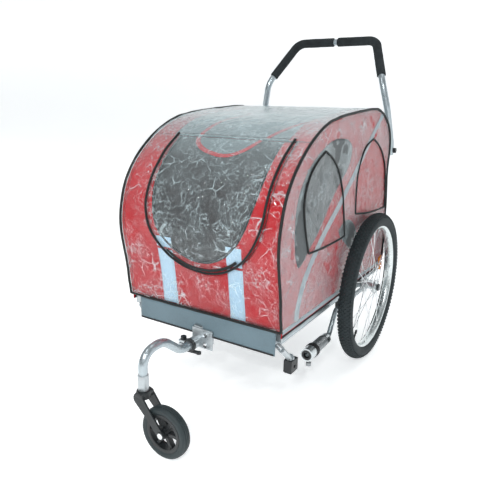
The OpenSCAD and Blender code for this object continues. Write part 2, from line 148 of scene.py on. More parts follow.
# ---------------------------------------------------------------- seeded noise on arrays
def _hash(ix, iy, iz, seed):
    n = (ix * 374761393 + iy * 668265263 + iz * 1274126177 + seed * 974634533) & 0xFFFFFFFF
    n = ((n ^ (n >> 13)) * 1274126177) & 0xFFFFFFFF
    n = (n ^ (n >> 16)) & 0xFFFFFFFF
    return n / 4294967295.0


def vn(p, seed=0):
    p = np.asarray(p, float)
    i = np.floor(p).astype(np.int64)
    f = p - i
    f = f ** 3 * (f * (f * 6 - 15) + 10)
    r = 0
    for a in (0, 1):
        for b in (0, 1):
            for c in (0, 1):
                w = (f[:, 0] if a else 1 - f[:, 0]) * (f[:, 1] if b else 1 - f[:, 1]) * (f[:, 2] if c else 1 - f[:, 2])
                r = r + w * _hash(i[:, 0] + a, i[:, 1] + b, i[:, 2] + c, seed)
    return r * 2 - 1


def n2(q, k, seed=0, ax=1.0, ay=1.0, z=0.0):
    return vn(np.stack([q[:, 0] * k * ax, q[:, 1] * k * ay, np.full(len(q), z + 0.37)], 1), seed)


def worley(q, k, seed=0):
    """distance to the nearest feature point (F1) and the gap to the second (F2 - F1)"""
    p = q * k
    i = np.floor(p).astype(np.int64)
    f1 = np.full(len(q), 9.0)
    f2 = np.full(len(q), 9.0)
    zz = np.zeros(len(q), np.int64)
    for a in (-1, 0, 1):
        for b in (-1, 0, 1):
            cx, cy = i[:, 0] + a, i[:, 1] + b
            px = cx + _hash(cx, cy, zz, seed)
            py = cy + _hash(cx, cy, zz + 7, seed + 3)
            d = np.hypot(p[:, 0] - px, p[:, 1] - py)
            f2 = np.minimum(f2, np.maximum(f1, d))
            f1 = np.minimum(f1, d)
    return f1, f2 - f1


def crinkle(q, seed=0, amp=0.002):
    """film that has been folded small and let out again: sharp facets over slow waves"""
    w = np.stack([n2(q, 14, seed), n2(q, 14, seed + 1)], 1) * 0.018
    f1, g = worley(q + w, 24, seed)
    f1b, gb = worley(q - w, 52, seed + 5)
    slow = n2(q, 6, seed + 9) * 0.6 + n2(q, 13, seed + 10) * 0.5
    return amp * (slow + 0.9 * (f1 - 0.5) + 0.42 * (f1b - 0.5))


def pull(q, seed=0, amp=0.001):
    """slack cloth: long soft ripples and a few tight creases"""
    a = n2(q, 5, seed, 1.0, 2.2) * 0.9 + n2(q, 12, seed + 1, 1.6, 0.8) * 0.45 + n2(q, 28, seed + 2) * 0.18
    r = 1 - np.abs(n2(q, 8, seed + 4, 1.7, 0.7))
    return amp * (a + 0.8 * np.clip(r - 0.8, 0, 1) * 4)


# ---------------------------------------------------------------- mesh builders
def new_obj(name, verts, faces, uvs=None, mat=None, smooth=True, sharp=None):
    me = bpy.data.meshes.new(name)
    me.from_pydata([tuple(v) for v in verts], [], [tuple(int(i) for i in f) for f in faces])
    me.update()
    if uvs is not None:
        uvs = np.asarray(uvs, float)
        layer = me.uv_layers.new(name="uvm")
        idx = np.zeros(len(me.loops), np.int32)
        me.loops.foreach_get("vertex_index", idx)
        layer.data.foreach_set("uv", uvs[idx].astype(np.float32).ravel())
    me.polygons.foreach_set("use_smooth", [smooth] * len(me.polygons))
    if sharp:
        me.set_sharp_from_angle(angle=math.radians(sharp))
    ob = bpy.data.objects.new(name, me)
    SC.collection.objects.link(ob)
    if mat:
        me.materials.append(mat)
    return ob


def densify(poly, step, closed=True):
    poly = np.asarray(poly, float)
    out = []
    m = len(poly)
    for i in range(m if closed else m - 1):
        a, b = poly[i], poly[(i + 1) % m]
        k = max(1, int(round(np.linalg.norm(b - a) / step)))
        for j in range(k):
            out.append(a + (b - a) * j / k)
    if not closed:
        out.append(poly[-1])
    return np.array(out)


def inside(poly, q):
    x, y = q[:, 0], q[:, 1]
    r = np.zeros(len(q), bool)
    m = len(poly)
    for i in range(m):
        x0, y0 = poly[i]
        x1, y1 = poly[(i + 1) % m]
        if y0 == y1:
            continue
        c = ((y0 > y) != (y1 > y)) & (x < (x1 - x0) * (y - y0) / (y1 - y0) + x0)
        r ^= c
    return r


def panel(name, outer, holes, to3d, step, thick, mat, disp=None, seed=0):
    """A sewn panel: a flat cut with holes, laid on a curved surface, with a thickness towards its inner side."""
    loops = [densify(outer, step)] + [densify(h, step) for h in holes]
    B = np.concatenate(loops)
    kd = KDTree(len(B))
    for i, b in enumerate(B):
        kd.insert((b[0], b[1], 0), i)
    kd.balance()
    lo, hi = B.min(0), B.max(0)
    r = random.Random(seed + 5)
    pts = []
    row = 0
    y = lo[1]
    while y < hi[1]:
        x = lo[0] + (step / 2 if row % 2 else 0)
        while x < hi[0]:
            pts.append((x + r.uniform(-0.12, 0.12) * step, y + r.uniform(-0.12, 0.12) * step))
            x += step
        y += step * 0.866
        row += 1
    q = np.array(pts)
    ok = inside(loops[0], q)
    for h in loops[1:]:
        ok &= ~inside(h, q)
    q = q[ok]
    q = np.array([p for p in q if kd.find((p[0], p[1], 0))[2] > step * 0.55])
    allp = np.concatenate([B, q]) if len(q) else B
    edges = []
    o = 0
    for lp in loops:
        m = len(lp)
        edges += [(o + i, o + (i + 1) % m) for i in range(m)]
        o += m
    res = delaunay_2d_cdt([Vector((float(p[0]), float(p[1]))) for p in allp], edges, [], 0, 1e-7)
    V = np.array([(v[0], v[1]) for v in res[0]])
    F = np.array([f for f in res[2] if len(f) == 3])
    cen = V[F].mean(1)
    keep = inside(loops[0], cen)
    for h in loops[1:]:
        keep &= ~inside(h, cen)
    F = F[keep]
    used = np.unique(F)
    remap = -np.ones(len(V), int)
    remap[used] = np.arange(len(used))
    V, F = V[used], remap[F]
    P3, nn = to3d(V)
    if disp is not None:
        P3 = P3 + nn * disp(V)[:, None]
    # wind the faces so that they look outward
    a, b, c = P3[F[:, 0]], P3[F[:, 1]], P3[F[:, 2]]
    flip = np.einsum("ij,ij->i", np.cross(b - a, c - a), nn[F[:, 0]]) < 0
    F[flip] = F[flip][:, ::-1]
    if not thick:
        return new_obj(name, P3, F, V, mat)
    # outward normal of the displaced surface, for an even thickness
    fn = np.cross(P3[F[:, 1]] - P3[F[:, 0]], P3[F[:, 2]] - P3[F[:, 0]])
    vnm = np.zeros_like(P3)
    for k in range(3):
        np.add.at(vnm, F[:, k], fn)
    vnm /= np.maximum(np.linalg.norm(vnm, axis=1), 1e-12)[:, None]
    m = len(P3)
    W = np.concatenate([P3, P3 - vnm * thick])
    faces = [tuple(f) for f in F] + [tuple(int(i) + m for i in f[::-1]) for f in F]
    count = {}
    for f in F:
        for k in range(3):
            e = (int(f[k]), int(f[(k + 1) % 3]))
            count[e] = 1
    for (i, j) in list(count):
        if (j, i) not in count:
            faces.append((j, i, i + m, j + m))
    return new_obj(name, W, faces, np.concatenate([V, V]), mat)


def frames(P3, closed=False):
    P3 = np.asarray(P3, float)
    if closed:
        t = np.roll(P3, -1, 0) - np.roll(P3, 1, 0)
    else:
        t = np.gradient(P3, axis=0)
    t /= np.maximum(np.linalg.norm(t, axis=1), 1e-12)[:, None]
    u = np.cross(t[0], (0, 0, 1.0))
    if np.linalg.norm(u) < 0.2:
        u = np.cross(t[0], (0, 1.0, 0))
    u /= np.linalg.norm(u)
    us = [u]
    for i in range(1, len(P3)):
        u = us[-1] - t[i] * np.dot(us[-1], t[i])
        us.append(u / np.linalg.norm(u))
    us = np.array(us)
    return t, us, np.cross(t, us)


def tube(name, P3, r, mat, n=16, closed=False, round_end=True, sq=None, smooth=True):
    """Round tube along points; r is a number or one for each point; sq scales the second radius."""
    P3 = np.asarray(P3, float)
    r = np.full(len(P3), float(r)) if np.isscalar(r) else np.asarray(r, float)
    if round_end and not closed:
        t0 = (P3[0] - P3[1]) / np.linalg.norm(P3[0] - P3[1])
        t1 = (P3[-1] - P3[-2]) / np.linalg.norm(P3[-1] - P3[-2])
        e = 0.35
        P3 = np.concatenate([[P3[0]], [P3[0] - t0 * r[0] * e * 0.3], [P3[0] - t0 * r[0] * e], P3[1:-1],
                             [P3[-1] - t1 * r[-1] * e], [P3[-1] - t1 * r[-1] * e * 0.3], [P3[-1]]])
        r = np.concatenate([[r[0] * 0.78, r[0] * 0.93, r[0]], r[1:-1], [r[-1], r[-1] * 0.93, r[-1] * 0.78]])
    t, u, w = frames(P3, closed)
    a = np.linspace(0, 2 * math.pi, n, endpoint=False)
    k2 = 1.0 if sq is None else sq
    V = (P3[:, None] + r[:, None, None] * (np.cos(a)[None, :, None] * u[:, None] + k2 * np.sin(a)[None, :, None] * w[:, None])).reshape(-1, 3)
    m = len(P3)
    F = []
    for i in range(m if closed else m - 1):
        j = (i + 1) % m
        for k in range(n):
            k1 = (k + 1) % n
            F.append((i * n + k, i * n + k1, j * n + k1, j * n + k))
    ln = np.concatenate([[0], np.cumsum(np.linalg.norm(np.diff(P3, axis=0), axis=1))])
    uv = np.stack([np.repeat(ln, n), np.tile(a * r.mean(), m)], 1)
    if not closed:
        F.append(tuple(range(n - 1, -1, -1)))
        F.append(tuple((m - 1) * n + k for k in range(n)))
    return new_obj(name, V, F, uv, mat, smooth, 40)


def arc_route(P, R):
    """straight runs with arcs of radius R at the inner points"""
    P = [np.array(p, float) for p in P]
    out = [P[0]]
    for i in range(1, len(P) - 1):
        d1 = (P[i] - P[i - 1]) / np.linalg.norm(P[i] - P[i - 1])
        d2 = (P[i + 1] - P[i]) / np.linalg.norm(P[i + 1] - P[i])
        th = math.acos(max(-1, min(1, float(d1 @ d2))))
        if th < 1e-3:
            out.append(P[i])
            continue
        cen = P[i] + (d2 - d1) / np.linalg.norm(d2 - d1) * (R[i] / math.cos(th / 2))
        e1 = P[i] - d1 * R[i] * math.tan(th / 2) - cen
        e1 /= np.linalg.norm(e1)
        m = max(2, int(math.degrees(th) / 4))
        for k in range(m + 1):
            out.append(cen + R[i] * (e1 * math.cos(th * k / m) + d1 * math.sin(th * k / m)))
    out.append(P[-1])
    return np.array(out)


def resample(P3, step):
    P3 = np.asarray(P3, float)
    ln = np.concatenate([[0], np.cumsum(np.linalg.norm(np.diff(P3, axis=0), axis=1))])
    m = max(2, int(ln[-1] / step) + 1)
    s = np.linspace(0, ln[-1], m)
    return np.stack([np.interp(s, ln, P3[:, k]) for k in range(P3.shape[1])], 1)


def ribbon(name, path, width, to3d, lift, thick, mat, step=0.006, across=6, disp=None):
    """Flat tape sewn on a surface. path is in the surface's own 2D, width in metres or one for each end."""
    q = resample(path, step)
    t = np.gradient(q, axis=0)
    t /= np.linalg.norm(t, axis=1)[:, None]
    nn = np.stack([-t[:, 1], t[:, 0]], 1)
    m = len(q)
    w = np.linspace(width[0], width[1], m) if hasattr(width, "__len__") else np.full(m, width)
    a = np.linspace(-0.5, 0.5, across + 1)
    G = (q[:, None] + nn[:, None] * (w[:, None, None] * a[None, :, None])).reshape(-1, 2)
    P3, n3 = to3d(G)
    edge = np.tile(1 - np.abs(a * 2) ** 8 * 0.6, m)
    h = lift + thick * edge
    if disp is not None:
        h = h + disp(G)
    top = P3 + n3 * h[:, None]
    bot = P3 + n3 * (h - thick * edge)[:, None] if disp is not None else P3 + n3 * lift
    V = np.concatenate([top, bot])
    k = across + 1
    F = []
    for i in range(m - 1):
        for j in range(across):
            F.append((i * k + j, i * k + j + 1, (i + 1) * k + j + 1, (i + 1) * k + j))
            o = m * k
            F.append((o + (i + 1) * k + j, o + (i + 1) * k + j + 1, o + i * k + j + 1, o + i * k + j))
        o = m * k
        F.append((i * k, (i + 1) * k, o + (i + 1) * k, o + i * k))
        F.append(((i + 1) * k + across, i * k + across, o + i * k + across, o + (i + 1) * k + across))
    o = m * k
    for i0, s in ((0, 1), ((m - 1) * k, -1)):
        for j in range(across):
            f = (i0 + j, o + i0 + j, o + i0 + j + 1, i0 + j + 1)
            F.append(f if s > 0 else f[::-1])
    ln = np.concatenate([[0], np.cumsum(np.linalg.norm(np.diff(q, axis=0), axis=1))])
    uv = np.stack([np.repeat(ln, k), (w[:, None] * a[None]).ravel()], 1)
    ob = new_obj(name, V, F, np.concatenate([uv, uv]), mat, True, 50)
    fix_winding(ob)
    return ob


def fix_winding(ob):
    import bmesh
    bm = bmesh.new()
    bm.from_mesh(ob.data)
    bmesh.ops.recalc_face_normals(bm, faces=bm.faces)
    bm.to_mesh(ob.data)
    bm.free()


def stitches(name, P3, nn, mat, pitch=0.0055, length=0.0034, r=0.00042, lift=0.0003):
    """A row of sewn stitches: small rounded bars that follow a line on the cloth."""
    P3 = np.asarray(P3, float)
    ln = np.concatenate([[0], np.cumsum(np.linalg.norm(np.diff(P3, axis=0), axis=1))])
    V, F = [], []
    for s in np.arange(pitch / 2, ln[-1] - pitch / 2, pitch):
        a = np.array([np.interp(s - length / 2, ln, P3[:, k]) for k in range(3)])
        b = np.array([np.interp(s + length / 2, ln, P3[:, k]) for k in range(3)])
        n3 = np.array([np.interp(s, ln, nn[:, k]) for k in range(3)])
        n3 /= np.linalg.norm(n3)
        t = (b - a) / max(np.linalg.norm(b - a), 1e-9)
        w = np.cross(t, n3)
        o = len(V)
        for p, k in ((a - t * r * 0.6, 0.35), (a, 1), (b, 1), (b + t * r * 0.6, 0.35)):
            for (cw, cn) in ((-1, 0), (-0.7, 0.8), (0.7, 0.8), (1, 0), (0, -0.8)):
                V.append(p + n3 * lift + w * cw * r * k + n3 * cn * r * k)
        for i in range(3):
            for j in range(5):
                F.append((o + i * 5 + j, o + i * 5 + (j + 1) % 5, o + (i + 1) * 5 + (j + 1) % 5, o + (i + 1) * 5 + j))
        F.append(tuple(o + j for j in range(4, -1, -1)))
        F.append(tuple(o + 15 + j for j in range(5)))
    ob = new_obj(name, V, F, None, mat, True)
    fix_winding(ob)
    return ob


def revolve(name, prof, centre, axis, mat, n=128, seg_smooth=35, wob=None):
    """Closed profile (radius, along) turned about an axis through centre."""
    ax = Vector(axis).normalized()
    e1 = ax.orthogonal().normalized()
    if abs(ax.x) > 0.9:
        e1 = Vector((0, 1, 0))
    e2 = ax.cross(e1)
    prof = np.asarray(prof, float)
    m = len(prof)
    a = np.linspace(0, 2 * math.pi, n, endpoint=False)
    E1, E2, AX = np.array(e1), np.array(e2), np.array(ax)
    V = (np.array(centre)[None, None] + prof[None, :, 0, None] * (np.cos(a)[:, None, None] * E1 + np.sin(a)[:, None, None] * E2)
         + prof[None, :, 1, None] * AX).reshape(-1, 3)
    F = []
    for i in range(n):
        j = (i + 1) % n
        for k in range(m):
            k1 = (k + 1) % m
            F.append((i * m + k, j * m + k, j * m + k1, i * m + k1))
    ob = new_obj(name, V, F, None, mat, True, seg_smooth)
    fix_winding(ob)
    return ob


def box_round(name, centre, size, r, mat, rot=None, seg=3):
    """Box with rounded edges"""
    import bmesh
    bm = bmesh.new()
    bmesh.ops.create_cube(bm, size=1)
    bmesh.ops.scale(bm, vec=size, verts=bm.verts)
    bmesh.ops.bevel(bm, geom=list(bm.edges) + list(bm.verts), offset=r, segments=seg, affect="EDGES", profile=0.5)
    if rot is not None:
        bmesh.ops.rotate(bm, matrix=rot, verts=bm.verts)
    bmesh.ops.translate(bm, vec=centre, verts=bm.verts)
    me = bpy.data.meshes.new(name)
    bm.to_mesh(me)
    bm.free()
    me.polygons.foreach_set("use_smooth", [True] * len(me.polygons))
    me.set_sharp_from_angle(angle=math.radians(50))
    ob = bpy.data.objects.new(name, me)
    SC.collection.objects.link(ob)
    me.materials.append(mat)
    return ob


def join(name, obs):
    """Several parts of one piece as one mesh"""
    import bmesh
    bm = bmesh.new()
    for o in obs:
        bm.from_mesh(o.data)
    me = bpy.data.meshes.new(name)
    bm.to_mesh(me)
    bm.free()
    mats = obs[0].data.materials
    for m_ in mats:
        me.materials.append(m_)
    ob = bpy.data.objects.new(name, me)
    SC.collection.objects.link(ob)
    for o in obs:
        bpy.data.objects.remove(o)
    return ob


# ---------------------------------------------------------------- materials
class Mat:
    def __init__(self, name, color, rough=0.5, metal=0.0, coord="obj", **kw):
        self.m = bpy.data.materials.new(name)
        self.m.use_nodes = True
        self.nt = self.m.node_tree
        self.n, self.l = self.nt.nodes, self.nt.links
        self.b = self.n["Principled BSDF"]
        self.b.inputs["Base Color"].default_value = (*color, 1)
        self.b.inputs["Roughness"].default_value = rough
        self.b.inputs["Metallic"].default_value = metal
        for k, v in kw.items():
            self.b.inputs[k.replace("_", " ")].default_value = v
        if coord == "uv":
            uv = self.n.new("ShaderNodeUVMap")
            uv.uv_map = "uvm"
            self.co = uv.outputs[0]
        else:
            tc = self.n.new("ShaderNodeTexCoord")
            self.co = tc.outputs["Object"]
        self.col, self.rough = color, rough
        self.h = None

    def scale(self, v, co=None):
        mp = self.n.new("ShaderNodeMapping")
        mp.inputs["Scale"].default_value = v if hasattr(v, "__len__") else (v, v, v)
        self.l.new(co or self.co, mp.inputs[0])
        return mp.outputs[0]

    def noise(self, k, detail=3, rough=0.55, co=None, dist=0.0):
        t = self.n.new("ShaderNodeTexNoise")
        t.inputs["Scale"].default_value = k
        t.inputs["Detail"].default_value = detail
        t.inputs["Roughness"].default_value = rough
        t.inputs["Distortion"].default_value = dist
        self.l.new(co or self.co, t.inputs["Vector"])
        return t.outputs["Fac"]

    def voronoi(self, k, feature="F1", co=None, rnd=1.0):
        t = self.n.new("ShaderNodeTexVoronoi")
        t.feature = feature
        t.inputs["Scale"].default_value = k
        t.inputs["Randomness"].default_value = rnd
        self.l.new(co or self.co, t.inputs["Vector"])
        return t.outputs["Distance"]

    def wave(self, k, direction="X", dist=0.0, co=None):
        t = self.n.new("ShaderNodeTexWave")
        t.bands_direction = direction
        t.inputs["Scale"].default_value = k
        t.inputs["Distortion"].default_value = dist
        self.l.new(co or self.co, t.inputs["Vector"])
        return t.outputs["Fac"]

    def math(self, op, a, b=None, c=None, clamp=False):
        t = self.n.new("ShaderNodeMath")
        t.operation = op
        t.use_clamp = clamp
        for i, v in enumerate((a, b, c)):
            if v is None:
                continue
            if isinstance(v, (int, float)):
                t.inputs[i].default_value = v
            else:
                self.l.new(v, t.inputs[i])
        return t.outputs[0]

    def ramp(self, fac, a, b, lo, hi):
        t = self.n.new("ShaderNodeMapRange")
        t.inputs["From Min"].default_value = a
        t.inputs["From Max"].default_value = b
        t.inputs["To Min"].default_value = lo
        t.inputs["To Max"].default_value = hi
        self.l.new(fac, t.inputs[0])
        return t.outputs[0]

    def mix(self, fac, ca, cb):
        t = self.n.new("ShaderNodeMix")
        t.data_type = "RGBA"
        if isinstance(fac, (int, float)):
            t.inputs[0].default_value = fac
        else:
            self.l.new(fac, t.inputs[0])
        for sock, v in ((t.inputs[6], ca), (t.inputs[7], cb)):
            if hasattr(v, "__len__"):
                sock.default_value = (*v, 1) if len(v) == 3 else v
            else:
                self.l.new(v, sock)
        return t.outputs[2]

    def set_color(self, s):
        self.l.new(s, self.b.inputs["Base Color"])

    def set_rough(self, s):
        self.l.new(s, self.b.inputs["Roughness"])

    def bump(self, height, strength=0.3, dist=0.001):
        t = self.n.new("ShaderNodeBump")
        t.inputs["Strength"].default_value = strength
        t.inputs["Distance"].default_value = dist
        self.l.new(height, t.inputs["Height"])
        if self.h:
            self.l.new(self.h, t.inputs["Normal"])
        self.h = t.outputs[0]
        self.l.new(self.h, self.b.inputs["Normal"])


def mulc(c, k):
    return tuple(min(1, v * k) for v in c)


def cloth_mat(name, col, weave=1100.0, var=0.16, rough=0.72, dirt=None, coord="uv", sheen=0.25, strength=0.35):
    m = Mat(name, col, rough, 0, coord, Sheen_Weight=sheen, Sheen_Roughness=0.4)
    big = m.noise(9, 3)
    fine = m.noise(180, 3)
    warp = m.wave(weave / 6.283, "X", 0.4)
    weft = m.wave(weave / 6.283, "Y", 0.4)
    w = m.math("MULTIPLY", m.math("ADD", warp, weft), 0.5)
    a = m.mix(m.ramp(big, 0.3, 0.7, 0, 1), mulc(col, 1 - var), mulc(col, 1 + var))
    b = m.mix(m.math("MULTIPLY", m.ramp(fine, 0.35, 0.7, 0, 1), 0.35), a, mulc(col, 1.35))
    c = m.mix(m.math("MULTIPLY", m.math("SUBTRACT", 1.0, w), 0.28), b, mulc(col, 0.55))
    m.set_color(c)
    m.set_rough(m.ramp(fine, 0.2, 0.8, rough - 0.1, rough + 0.12))
    m.bump(m.noise(34, 4), 0.35, 0.0016)
    m.bump(w, strength, 0.00025)
    return m.m


def metal_mat(name, col, rough=0.3, metal=1.0, brushed=None, speck=0.0, coat=0.0, wear=0.12):
    m = Mat(name, col, rough, metal, "obj", Coat_Weight=coat, Coat_Roughness=0.15)
    big = m.noise(22, 4)
    fine = m.noise(900, 2)
    scratch = m.noise(60, 5, 0.7, m.scale(brushed or (1, 1, 6)))
    c = m.mix(m.ramp(big, 0.3, 0.75, 0, 1), mulc(col, 1 - wear), mulc(col, 1 + wear * 0.6))
    if speck:
        c = m.mix(m.math("MULTIPLY", m.ramp(fine, 0.55, 0.75, 0, 1), speck), c, mulc(col, 1.6))
    spots = m.ramp(m.noise(140, 2), 0.68, 0.78, 0, 0.35)
    c = m.mix(spots, c, mulc(col, 0.55))
    m.set_color(c)
    r = m.math("ADD", m.ramp(scratch, 0.3, 0.7, rough * 0.75, rough * 1.35), m.ramp(big, 0.4, 0.8, 0.0, 0.08))
    m.set_rough(r)
    m.bump(scratch, 0.06, 0.0004)
    m.bump(fine, 0.05, 0.0002)
    return m.m


def plastic_mat(name, col, rough=0.45, grain=700, scuff=0.2, strength=0.2):
    m = Mat(name, col, rough, 0, "obj")
    g = m.noise(grain, 2)
    big = m.noise(16, 4)
    c = m.mix(m.ramp(big, 0.35, 0.75, 0, 1), mulc(col, 0.8), mulc(col, 1.25))
    sc = m.ramp(m.noise(60, 6, 0.75, m.scale((1, 3, 1))), 0.6, 0.72, 0, scuff)
    c = m.mix(sc, c, tuple(min(1, v * 2.4 + 0.03) for v in col))
    m.set_color(c)
    m.set_rough(m.ramp(g, 0.25, 0.75, rough - 0.08, rough + 0.14))
    m.bump(g, strength, 0.0003)
    return m.m


def rubber_mat(name, col, rough=0.78):
    m = Mat(name, col, rough, 0, "obj")
    dust = m.noise(40, 5, 0.65)
    g = m.noise(500, 3)
    c = m.mix(m.ramp(dust, 0.42, 0.75, 0, 0.5), col, tuple(v * 1.8 + 0.012 for v in col))
    m.set_color(c)
    m.set_rough(m.ramp(dust, 0.3, 0.7, rough - 0.12, rough + 0.1))
    m.bump(g, 0.25, 0.0004)
    return m.m


RED = (0.44, 0.010, 0.016)
M_red = cloth_mat("red_oxford_cloth", RED, 1500, 0.14, 0.7, sheen=0.04)
M_redside = cloth_mat("red_side_cloth", (0.43, 0.012, 0.020), 1500, 0.14, 0.7, sheen=0.05)
for m_ in (M_red, M_redside):
    m_.node_tree.nodes["Principled BSDF"].inputs["Specular IOR Level"].default_value = 0.2
M_grey = cloth_mat("grey_oxford_cloth", (0.13, 0.165, 0.175), 1500, 0.12, 0.6)
M_band = cloth_mat("grey_band_cloth", (0.135, 0.20, 0.235), 1500, 0.14, 0.62)
M_stripe = cloth_mat("pale_grey_stripe", (0.30, 0.36, 0.40), 1500, 0.1, 0.5)
M_black = cloth_mat("black_binding", (0.0045, 0.0055, 0.006), 2400, 0.25, 0.6, coord="uv", sheen=0.0, strength=0.5)
M_blackc = cloth_mat("black_webbing", (0.009, 0.010, 0.011), 3200, 0.25, 0.65, coord="uv", sheen=0.05, strength=0.8)
M_seat = cloth_mat("seat_grey_cloth", (0.085, 0.095, 0.105), 1700, 0.16, 0.75, coord="obj")
M_thread = plastic_mat("grey_thread", (0.24, 0.25, 0.27), 0.6)
M_threadr = plastic_mat("red_thread", (0.30, 0.02, 0.03), 0.6)
M_threadb = plastic_mat("black_thread", (0.012, 0.012, 0.014), 0.6)

# window mesh: a dark net with a regular fine grid and slow light and dark patches
mm = Mat("window_mesh", (0.035, 0.036, 0.038), 0.5, 0, "uv", Sheen_Weight=0.15)
gx = mm.wave(2600 / 6.283, "X")
gy = mm.wave(2600 / 6.283, "Y")
net = mm.math("MAXIMUM", gx, gy)
pat = mm.noise(7, 3, 0.6)
base = mm.mix(mm.ramp(pat, 0.35, 0.7, 0, 1), (0.020, 0.012, 0.012), (0.042, 0.048, 0.050))
mm.set_color(mm.mix(mm.ramp(net, 0.4, 1.0, 0, 0.5), base, (0.055, 0.062, 0.066)))
mm.bump(net, 0.5, 0.0003)
mm.bump(mm.noise(26, 4), 0.4, 0.002)
M_mesh = mm.m
mm = Mat("side_window_mesh", (0.06, 0.075, 0.08), 0.55, 0, "uv", Sheen_Weight=0.15)
gx = mm.wave(2600 / 6.283, "X")
gy = mm.wave(2600 / 6.283, "Y")
net = mm.math("MAXIMUM", gx, gy)
base = mm.mix(mm.ramp(mm.noise(8, 3), 0.35, 0.7, 0, 1), (0.030, 0.042, 0.046), (0.055, 0.072, 0.078))
mm.set_color(mm.mix(mm.ramp(net, 0.4, 1.0, 0, 0.5), base, (0.08, 0.10, 0.105)))
mm.bump(net, 0.5, 0.0003)
M_lens = mm.m

# reflective tape: pale, with a fine honeycomb cell pattern
mm = Mat("reflective_tape", (0.40, 0.58, 0.74), 0.32, 0.0, "uv", Coat_Weight=0.3, Coat_Roughness=0.2)
cell = mm.voronoi(420, "DISTANCE_TO_EDGE", None, 0.0)
mm.set_color(mm.mix(mm.ramp(cell, 0.02, 0.12, 0, 1), (0.28, 0.42, 0.54), (0.42, 0.62, 0.78)))
mm.set_rough(mm.ramp(mm.noise(30, 3), 0.3, 0.7, 0.25, 0.42))
mm.bump(cell, 0.3, 0.0003)
mm.bump(mm.noise(40, 4), 0.3, 0.0012)
M_tape = mm.m


def vinyl_mat(name, lo, hi, mask=None, reflection_haze_tint=(0.76, 0.93, 0.97)):
    """Clear film: mostly see-through, with a white painted reflection haze mixed in, whiter crease lines that are
    partly the film's own fold whitening and partly painted highlight, and many small sharp facets.
    """
    m = Mat(name, reflection_haze_tint, 0.12, 0, "uv", IOR=1.62, Specular_IOR_Level=0.9)
    warp = m.n.new("ShaderNodeVectorMath")
    warp.operation = "MULTIPLY_ADD"
    nz = m.n.new("ShaderNodeTexNoise")
    nz.inputs["Scale"].default_value = 11
    m.l.new(m.co, nz.inputs["Vector"])
    m.l.new(nz.outputs["Color"], warp.inputs[0])
    warp.inputs[1].default_value = (0.055, 0.055, 0)
    m.l.new(m.co, warp.inputs[2])
    wc = warp.outputs[0]
    v1 = m.voronoi(38, "F1", wc)
    v2 = m.voronoi(95, "F1", wc)
    e1 = m.voronoi(24, "DISTANCE_TO_EDGE", wc)
    e2 = m.voronoi(62, "DISTANCE_TO_EDGE", wc)
    # painted reflection: this noise sets how much white haze is mixed into the clear film, in place of the studio
    # reflected in it
    painted_reflection_haze = m.noise(10, 5, 0.65, wc)
    r1 = m.math("ABSOLUTE", m.math("SUBTRACT", m.noise(26, 3, 0.6), 0.5))
    r2 = m.math("ABSOLUTE", m.math("SUBTRACT", m.noise(52, 2, 0.5, wc), 0.48))
    l1 = m.math("MULTIPLY", m.ramp(r1, 0.0, 0.012, 1, 0), m.ramp(m.noise(13, 2), 0.44, 0.58, 0, 1), clamp=True)
    l2 = m.math("MULTIPLY", m.ramp(r2, 0.0, 0.016, 1.0, 0), m.ramp(m.noise(11, 3), 0.45, 0.58, 0, 1), clamp=True)
    l3 = m.math("MULTIPLY", m.ramp(e1, 0.0, 0.04, 0.8, 0), m.ramp(m.noise(16, 2), 0.50, 0.62, 0, 1), clamp=True)
    # crease lines: whiter film along the folds, partly the film's own fold whitening and partly painted highlight where
    # light catches the folds
    crease_whitening_and_highlight = m.math("MAXIMUM", m.math("MAXIMUM", l1, l2), l3)
    # a = amount of white painted reflection haze, plus the crease lines below
    a = m.ramp(painted_reflection_haze, 0.3, 0.75, lo, hi)
    a = m.math("ADD", a, m.math("MULTIPLY", crease_whitening_and_highlight, 0.38), clamp=True)
    if mask:
        a = mask(m, a)
    m.set_rough(m.ramp(m.noise(60, 3), 0.3, 0.7, 0.10, 0.25))
    m.bump(v1, 0.48, 0.005)
    m.bump(v2, 0.52, 0.0024)
    m.bump(crease_whitening_and_highlight, 0.30, 0.0012)
    out = m.n["Material Output"]
    tr = m.n.new("ShaderNodeBsdfTransparent")
    gl = m.n.new("ShaderNodeBsdfGlossy")
    gl.inputs["Roughness"].default_value = 0.035
    m.l.new(m.h, gl.inputs["Normal"])
    lw = m.n.new("ShaderNodeLayerWeight")
    lw.inputs["Blend"].default_value = 0.5
    fr = m.math("MULTIPLY_ADD", m.math("POWER", lw.outputs["Facing"], 4.0), 0.40, 0.009)
    m1 = m.n.new("ShaderNodeMixShader")
    m.l.new(a, m1.inputs[0])
    m.l.new(tr.outputs[0], m1.inputs[1])
    m.l.new(m.b.outputs[0], m1.inputs[2])
    m2 = m.n.new("ShaderNodeMixShader")
    m.l.new(fr, m2.inputs[0])
    m.l.new(m1.outputs[0], m2.inputs[1])
    m.l.new(gl.outputs[0], m2.inputs[2])
    m.l.new(m2.outputs[0], out.inputs["Surface"])
    return m.m


def roof_painted_haze(m, a):
    # painted reflection: extra white haze from the hinge back over the roof, so the top of the film reads paler as if
    # lit from above
    sep = m.n.new("ShaderNodeSeparateXYZ")
    m.l.new(m.co, sep.inputs[0])
    f = m.ramp(sep.outputs[1], S_HINGE - 0.22, S_HINGE + 0.16, 0, 1)
    f = m.math("MULTIPLY", m.math("MULTIPLY", f, f, clamp=True), 0.40)
    return m.math("ADD", a, f, clamp=True)


M_vtop = vinyl_mat("clear_vinyl_top", 0.0, 0.05, roof_painted_haze)
# the side film carries more painted reflection haze than the front film
M_vside = vinyl_mat("clear_vinyl_side", 0.07, 0.19)
M_vflap = vinyl_mat("clear_vinyl_flap", 0.0, 0.06)

